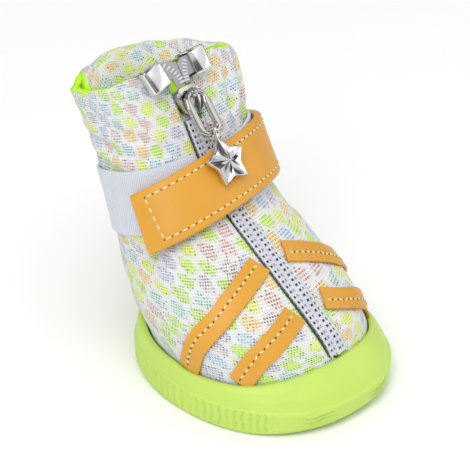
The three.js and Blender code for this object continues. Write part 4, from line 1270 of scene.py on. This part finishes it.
def makeZipTape():
    # A dark sheet behind the coils paints the shade in the gaps between them.
    inner = zipStripPiece("zipShadeSheet", zipSizes["start"] + 0.05, chainEnd, zipTapes["backHalf"], -0.4, 0.4,
                          [zipGapShade])
    settle(inner, "boot", "zip_coil")
    behind = zipStripPiece("zipTapeTop", chainEnd, zipSizes["sliderRow"] + 0.08, zipTapes["topHalf"],
                           -1.05, 0.5, [tape])
    settle(behind, "boot", "zip_coil")
    for label, side in (("left", 1), ("right", -1)):
        def edgeAt(u, v):
            row = zipSizes["start"] + v * (chainEnd - zipSizes["start"])
            turn = u * 2 * np.pi
            wide, high = zipTapes["edgeSize"]
            x = side * (zipTapes["edgeAway"] + wide * np.cos(turn))
            return zipLine(row, x, zipTapes["edgeHeight"] + high * np.sin(turn))[0]

        edge = gridPiece("zipEdge." + label, 10, 90, edgeAt, None, [tape], closed=True)
        settle(edge, "boot", "zip_coil")

        # The thread that sews the coils down runs along the middle of each row.
        def threadAt(u, v):
            row = zipSizes["start"] + 0.03 + v * (chainEnd - zipSizes["start"] - 0.05)
            turn = u * 2 * np.pi
            radius = zipTapes["threadRadius"]
            x = side * (zipTapes["threadAway"] + radius * np.cos(turn))
            twist = zipTapes["threadTwist"] * np.sin(v * 2 * np.pi * zipTapes["threadTurns"])
            return zipLine(row, x, zipTapes["threadHeight"] + twist + radius * np.sin(turn))[0]

        thread = gridPiece("zipThread." + label, 8, 360, threadAt, None, [zipTeeth], closed=True)
        settle(thread, "boot", "zip_coil")

    def backAt(u, v):
        low = zipTapes["liningStart"]
        row = zipSizes["start"] + low + v * (zipSizes["sliderRow"] - zipSizes["start"] - low)
        side = surface(np.full_like(row, 90.0), row)[:, 1]
        angle = np.degrees(np.arcsin(np.clip((u * 2 - 1) * zipTapes["liningHalf"] / side, -1, 1)))
        return offsetPoint(angle, row, np.full_like(row, -(zipTapes["upperWall"] + 1.5 * gap)))

    backing = gridPiece("zipLining", 14, 90, backAt, None, [lining])
    addModifier(backing, "SOLIDIFY", thickness=zipTapes["liningThick"] * mm, offset=-1.0)
    settle(backing, "boot", "lime_lining", "zip_tape")


makeZipChain()
makeZipTape()
print("zip made")


# Slider and zip ends are laid out in the zip's own frame: x up its line, y to the boot's right, z outwards.
def zipFrame():
    rise = surfaceFrame(np.array([0.0]), np.array([zipSizes["sliderRow"]]))[1][0]
    along = Vector((rise[0], 0, rise[2])).normalized()
    side = Vector((0, -1, 0))
    outward = along.cross(side)
    matrix = Matrix((along, side, outward)).transposed().to_4x4()
    matrix.translation = Vector(sliderMiddle) * mm
    return matrix


zipMatrix = zipFrame()
metric = Matrix.Scale(mm, 4)


def addPlate(bm, outline, low, high):
    # A circle's corners are moved on to the outline, and its face is drawn up to a plate.
    made = bmesh.ops.create_circle(bm, cap_ends=True, segments=len(outline), radius=1)["verts"]
    for vert, (x, y) in zip(made, outline):
        vert.co = (x, y, low)
    face = made[0].link_faces[0]
    drawn = bmesh.ops.extrude_face_region(bm, geom=[face])["geom"]
    top = [item for item in drawn if isinstance(item, bmesh.types.BMVert)]
    bmesh.ops.translate(bm, verts=top, vec=(0, 0, high - low))
    return made + top


def finishPiece(name, bm, matrix, materials, body, slot, *nodes, bevel=None, smooth=True):
    bmesh.ops.recalc_face_normals(bm, faces=bm.faces)
    if bevel:
        width, segments = bevel
        sharp = [e for e in bm.edges if len(e.link_faces) == 2 and e.calc_face_angle(0) > 0.6]
        bmesh.ops.bevel(bm, geom=sharp, offset=width, offset_type="OFFSET", affect="EDGES",
                        segments=segments, profile=0.5, material=-1, clamp_overlap=True)
        bmesh.ops.remove_doubles(bm, verts=bm.verts, dist=0.01)
        bmesh.ops.dissolve_degenerate(bm, edges=bm.edges, dist=0.005)
    bmesh.ops.transform(bm, matrix=matrix @ metric, verts=bm.verts)
    if matrix.determinant() < 0:
        bmesh.ops.reverse_faces(bm, faces=bm.faces)
    if smooth:
        smoothFaces(bm)
    return settle(addPiece(name, meshFrom(name, bm), materials), body, slot, *nodes)


# Slider: a rounded plate that narrows downwards, a smaller foot plate under it, and an arched bridge for the
# pull
def makeSlider():
    low = zipSizes["sliderTop"] - zipSizes["sliderLength"]
    top = zipSizes["sliderTop"]
    half = zipSizes["sliderWidth"] / 2
    narrow = half * zipSizes["sliderNarrow"]
    shoulder = top - zipSizes["sliderLength"] * zipSizes["sliderShoulder"]
    plateLow = zipSizes["plateLow"]
    plateHigh = plateLow + zipSizes["plate"]

    def rounded(shrink):
        right = [(low + shrink, narrow * 0.5), (low + 0.9 + shrink, narrow - shrink)]
        right.append((shoulder, half - shrink))
        for k in range(7):
            turn = math.radians(15 * k)
            right.append((shoulder + (top - shoulder - shrink) * math.sin(turn),
                          narrow * 0.7 + (half - narrow * 0.7 - shrink) * math.cos(turn)))
        right.append((top - shrink, narrow * 0.3))
        return right + [(x, -y) for x, y in reversed(right)]

    bm = bmesh.new()
    addPlate(bm, rounded(0.0), plateLow, plateHigh)
    finishPiece("sliderPlate", bm, zipMatrix, [pullMetal], "boot", "chrome", "zip_slider", bevel=(0.2, 3))
    bm = bmesh.new()
    shorter, slimmer = zipSizes["sliderFoot"]
    addPlate(bm, [(x * shorter - 0.1, y * slimmer) for x, y in rounded(0.0)], -0.9, plateLow + 0.1)
    finishPiece("sliderFoot", bm, zipMatrix, [pullMetal], "boot", "chrome", bevel=(0.2, 2))
    radius = zipSizes["bridgeHeight"] / 2
    height = plateHigh + radius
    wall = zipSizes["bridgeWall"]
    middle = radius - wall / 2

    def archAt(u, v):
        turn = np.pi * (v * 1.5 - 0.25)
        section = 2 * np.pi * u
        reach = middle + wall / 2 * np.cos(section)
        y = zipSizes["bridgeWidth"] / 2 * np.sin(section)
        x = reach * np.cos(turn)
        z = height - 0.12 + reach * np.sin(turn)
        local = np.stack([x, y, z, np.full_like(x, 1)], axis=-1)
        return (local * [mm, mm, mm, 1] @ np.array(zipMatrix).T)[:, :3] / mm

    arch = gridPiece("sliderBridge", 14, 40, archAt, None, [pullMetal], closed=True)
    settle(arch, "boot", "chrome")


makeSlider()

# Free ends of the zip, each with a folded metal clamp that is open towards the middle
zipEnds = {
    "left": {"side": -1, "reach": 2.2, "rise": 6.4, "tilt": -3},
    "right": {"side": 1, "reach": 3.8, "rise": 7.0, "tilt": 12},
}
endSizes = {
    "thick": 0.8, "low": gap + zipSizes["clampThick"] / 2 - 0.4 + 0.2, "slotFront": 1.5,
    "coils": 7, "coil": (0.5, 1.5, 0.5),
}


def endMatrix(end):
    place = Matrix.Translation(Vector((end["rise"], end["reach"], 0)) * mm)
    turn = Matrix.Rotation(math.radians(end["tilt"]), 4, "Z")
    mirror = Matrix.Diagonal((1, end["side"], 1, 1))
    return zipMatrix @ mirror @ place @ turn


def makeClamp(label, end):
    middle = endSizes["low"] + endSizes["thick"] / 2
    bm = bmesh.new()
    size = (zipSizes["clampHeight"], zipSizes["clampLength"], zipSizes["clampThick"])
    place = Matrix.Translation((0, zipSizes["clampLength"] / 2, middle))
    bmesh.ops.create_cube(bm, size=1, matrix=place @ Matrix.Diagonal((*size, 1)))
    mouth = [face for face in bm.faces if face.calc_center_median().y < 0.01]
    bmesh.ops.delete(bm, geom=mouth, context="FACES_ONLY")
    # The front is shorter than the back, so the slot, dark with painted shade on the clamp's inner faces, and
    # the tape in it show.
    slant = endSizes["slotFront"] / zipSizes["clampThick"]
    back = middle - zipSizes["clampThick"] / 2
    bmesh.ops.bisect_plane(bm, geom=bm.verts[:] + bm.edges[:] + bm.faces[:], plane_co=(0, 0, back),
                           plane_no=(0, -1, slant), clear_outer=True)
    closed = [e for e in bm.edges if len(e.link_faces) == 2]
    bmesh.ops.bevel(bm, geom=closed, offset=0.75, offset_type="OFFSET", affect="EDGES", segments=5,
                    profile=0.5, material=-1)
    piece = finishPiece("zipClamp." + label, bm, endMatrix(end), [chrome, clampInsideShade], "boot", "chrome",
                        "zip_clamp_" + label)
    # The inner faces of the folded clamp take the near-black painted shade.
    addModifier(piece, "SOLIDIFY", thickness=0.5 * mm, offset=-1.0, material_offset=1, material_offset_rim=0)
    addModifier(piece, "BEVEL", width=0.12 * mm, segments=2, limit_method="ANGLE",
                angle_limit=math.radians(50))


def makeZipEnd(label, end):
    foot = zipSizes["sliderTop"] + gap
    halfTape = zipSizes["clampHeight"] / 2 - zipSizes["clampWall"] - gap
    depth = zipSizes["clampLength"] - zipSizes["clampWall"] - 1
    turn = math.radians(end["tilt"])

    def inClamp(x, y):
        return (x * math.cos(turn) - y * math.sin(turn) + end["rise"],
                x * math.sin(turn) + y * math.cos(turn) + end["reach"])

    under = min(zipSizes["chainWidth"] / 2, end["reach"] - gap)
    outline = [
        (foot, gap / 2), (foot, under), inClamp(-halfTape, -gap), inClamp(-halfTape, depth),
        inClamp(halfTape, depth), inClamp(halfTape, -gap), (end["rise"] + halfTape * 0.5, gap / 2),
    ]
    bm = bmesh.new()
    top = endSizes["low"] + endSizes["thick"]
    addPlate(bm, [(x, y * end["side"]) for x, y in outline], endSizes["low"], top)
    finishPiece("zipTapeEnd." + label, bm, zipMatrix, [greyTape], "boot", "zip_coil", "zip_end_" + label,
                bevel=(0.2, 3))
    bm = bmesh.new()
    for k in range(endSizes["coils"]):
        share = (k + 0.5) / endSizes["coils"]
        x = foot + 0.4 + share * (end["rise"] - foot + 1.2)
        y = (0.75 + share**2 * 1.3 * (end["reach"] - 0.75)) * end["side"]
        lean = Matrix.Rotation(math.radians(35 * share * end["side"]), 4, "Z")
        place = Matrix.Translation((x, y, top)) @ lean
        bmesh.ops.create_cube(bm, size=1, matrix=place @ Matrix.Diagonal((*endSizes["coil"], 1)))
    finishPiece("zipLastCoils." + label, bm, zipMatrix, [zipTeeth], "boot", "zip_coil", bevel=(0.12, 2))


for label, end in zipEnds.items():
    makeClamp(label, end)
    makeZipEnd(label, end)
print("slider and zip ends made")

# Pull: a long wire loop that hangs from the bridge and leans on the strap
pullSizes = {
    "hinge": (-19.983, -2.0, 67.527), "charmHinge": (-13.597, -2.0, 59.319),
    "width": 5.4, "length": 10.4, "corner": 1.7, "wire": 0.62, "barWidth": 0.75,
}
pullLean = math.atan2(pullSizes["charmHinge"][0] - pullSizes["hinge"][0],
                      pullSizes["hinge"][2] - pullSizes["charmHinge"][2])


def hangMatrix(hinge):
    return Matrix.Translation(Vector(hinge) * mm) @ Matrix.Rotation(-pullLean, 4, "Y")


def throughMatrix(matrix, x, y, z):
    local = np.stack([x, y, z], axis=-1) * mm
    return (local @ np.array(matrix.to_3x3()).T + np.array(matrix.translation)) / mm


def pullLine(share):
    # Places and outward directions round the loop, which is a rectangle with round corners.
    half, corner = pullSizes["width"] / 2, pullSizes["corner"]
    length = pullSizes["length"]
    steps = 10
    points, outward = [], []
    corners = ((half - corner, -corner, 0), (half - corner, corner - length, -90),
               (corner - half, corner - length, -180), (corner - half, -corner, -270))
    for y, z, start in corners:
        for k in range(steps + 1):
            turn = math.radians(90 + start - 90 * k / steps)
            points.append((y + corner * math.cos(turn), z + corner * math.sin(turn)))
            outward.append((math.cos(turn), math.sin(turn)))
    points.append(points[0])
    outward.append(outward[0])
    points, outward = np.array(points), np.array(outward)
    travelled = lengthAlong(points)
    at = share * travelled[-1]
    return readAlong(at, travelled, points), readAlong(at, travelled, outward)


def makePull():
    matrix = hangMatrix(pullSizes["hinge"])

    def pointAt(u, v):
        place, outward = pullLine(v)
        turn = 2 * np.pi * u
        flat = np.sign(np.cos(turn)) * np.abs(np.cos(turn)) ** 0.75
        # The side bars are wider than the top bar, which runs in the bridge.
        belowTop = np.clip((-place[:, 1] - 1.2) / 2.0, 0, 1)
        lower = belowTop * np.clip((pullSizes["length"] + place[:, 1]) / 2.0, 0, 1)
        thick = pullSizes["wire"] * (1 + pullSizes["barWidth"] * lower)
        y = place[:, 0] + outward[:, 0] * thick * flat
        z = place[:, 1] + outward[:, 1] * thick * flat
        x = pullSizes["wire"] * np.sign(np.sin(turn)) * np.abs(np.sin(turn)) ** 0.75
        return throughMatrix(matrix, x, y, z)

    piece = gridPiece("zipPull", 20, 120, pointAt, None, [pullMetal], closed=True)
    settle(piece, "pull", "chrome", "zip_pull")


# Star: puffed, with softened points and waists, and an eye that holds the pull's lower bar
star = {
    "radius": 6.8, "waist": 0.54, "thick": 2.8, "edge": 1.3, "eye": 1.6, "eyeWire": 0.5, "sunk": 0.885,
    "blunt": 0.09, "fill": 0.05, "softness": 0.14,
}


def makeStar():
    matrix = hangMatrix(pullSizes["charmHinge"])
    middle = -(star["eye"] + star["radius"] * star["sunk"])

    def pointAt(u, v):
        # v runs from the front's middle over the edge to the middle of the back.
        turn = 2 * np.pi * u
        third = np.pi / 5
        fold = np.abs((turn + third) % (2 * third) - third)
        waist = star["radius"] * star["waist"]
        straight = star["radius"] * waist * math.sin(third) / (
            waist * np.sin(third - fold) + star["radius"] * np.sin(fold))
        tip = 1 - star["blunt"] * np.exp(-(fold / star["softness"]) ** 2)
        hollow = 1 + star["fill"] * np.exp(-((third - fold) / star["softness"]) ** 2)
        outline = straight * tip * hollow
        share = 1 - np.abs(v * 2 - 1)
        front = np.where(v < 0.5, 1, -1)
        flatPart = np.clip(share / 0.8, 0, 1)
        rounding = np.clip((share - 0.8) / 0.2, 0, 1) * np.pi / 2
        crest = star["thick"] / 2 - (star["thick"] - star["edge"]) / 2 * flatPart
        dip = 0.12 * np.sin(np.pi * flatPart) * (fold / third)
        x = front * (crest - dip) * np.cos(rounding)
        reach = outline * (0.94 * flatPart + 0.06 * np.sin(rounding))
        return throughMatrix(matrix, x, reach * np.sin(turn), middle + reach * np.cos(turn))

    piece = gridPiece("starCharm", 160, 56, pointAt, None, [chrome], closed=True)
    settle(piece, "charm", "chrome", "star_charm")

    def eyeAt(u, v):
        turn, section = 2 * np.pi * v, 2 * np.pi * u
        reach = star["eye"] + star["eyeWire"] * np.cos(section)
        across = star["eyeWire"] * np.sin(section)
        return throughMatrix(matrix, reach * np.cos(turn), across, reach * np.sin(turn))

    eye = gridPiece("starEye", 12, 40, eyeAt, None, [chrome], closed=True)
    settle(eye, "charm", "chrome")


makePull()
makeStar()
print("pull and star made")


def makeFloor():
    bm = bmesh.new()
    bmesh.ops.create_grid(bm, x_segments=1, y_segments=1, size=3.0)
    material, nodes, shader = newMaterial("paper")
    cloud = nodes.add("ShaderNodeTexNoise", {"Vector": objectVector(nodes), "Scale": 4.0})
    colour = nodes.mix(cloud.outputs["Fac"], (0.93, 0.93, 0.93, 1), (0.96, 0.96, 0.96, 1))
    wire(nodes, shader, colour=colour, roughness=0.9)
    addPiece("floor", meshFrom("floor", bm), [material])


makeFloor()
print("floor made")
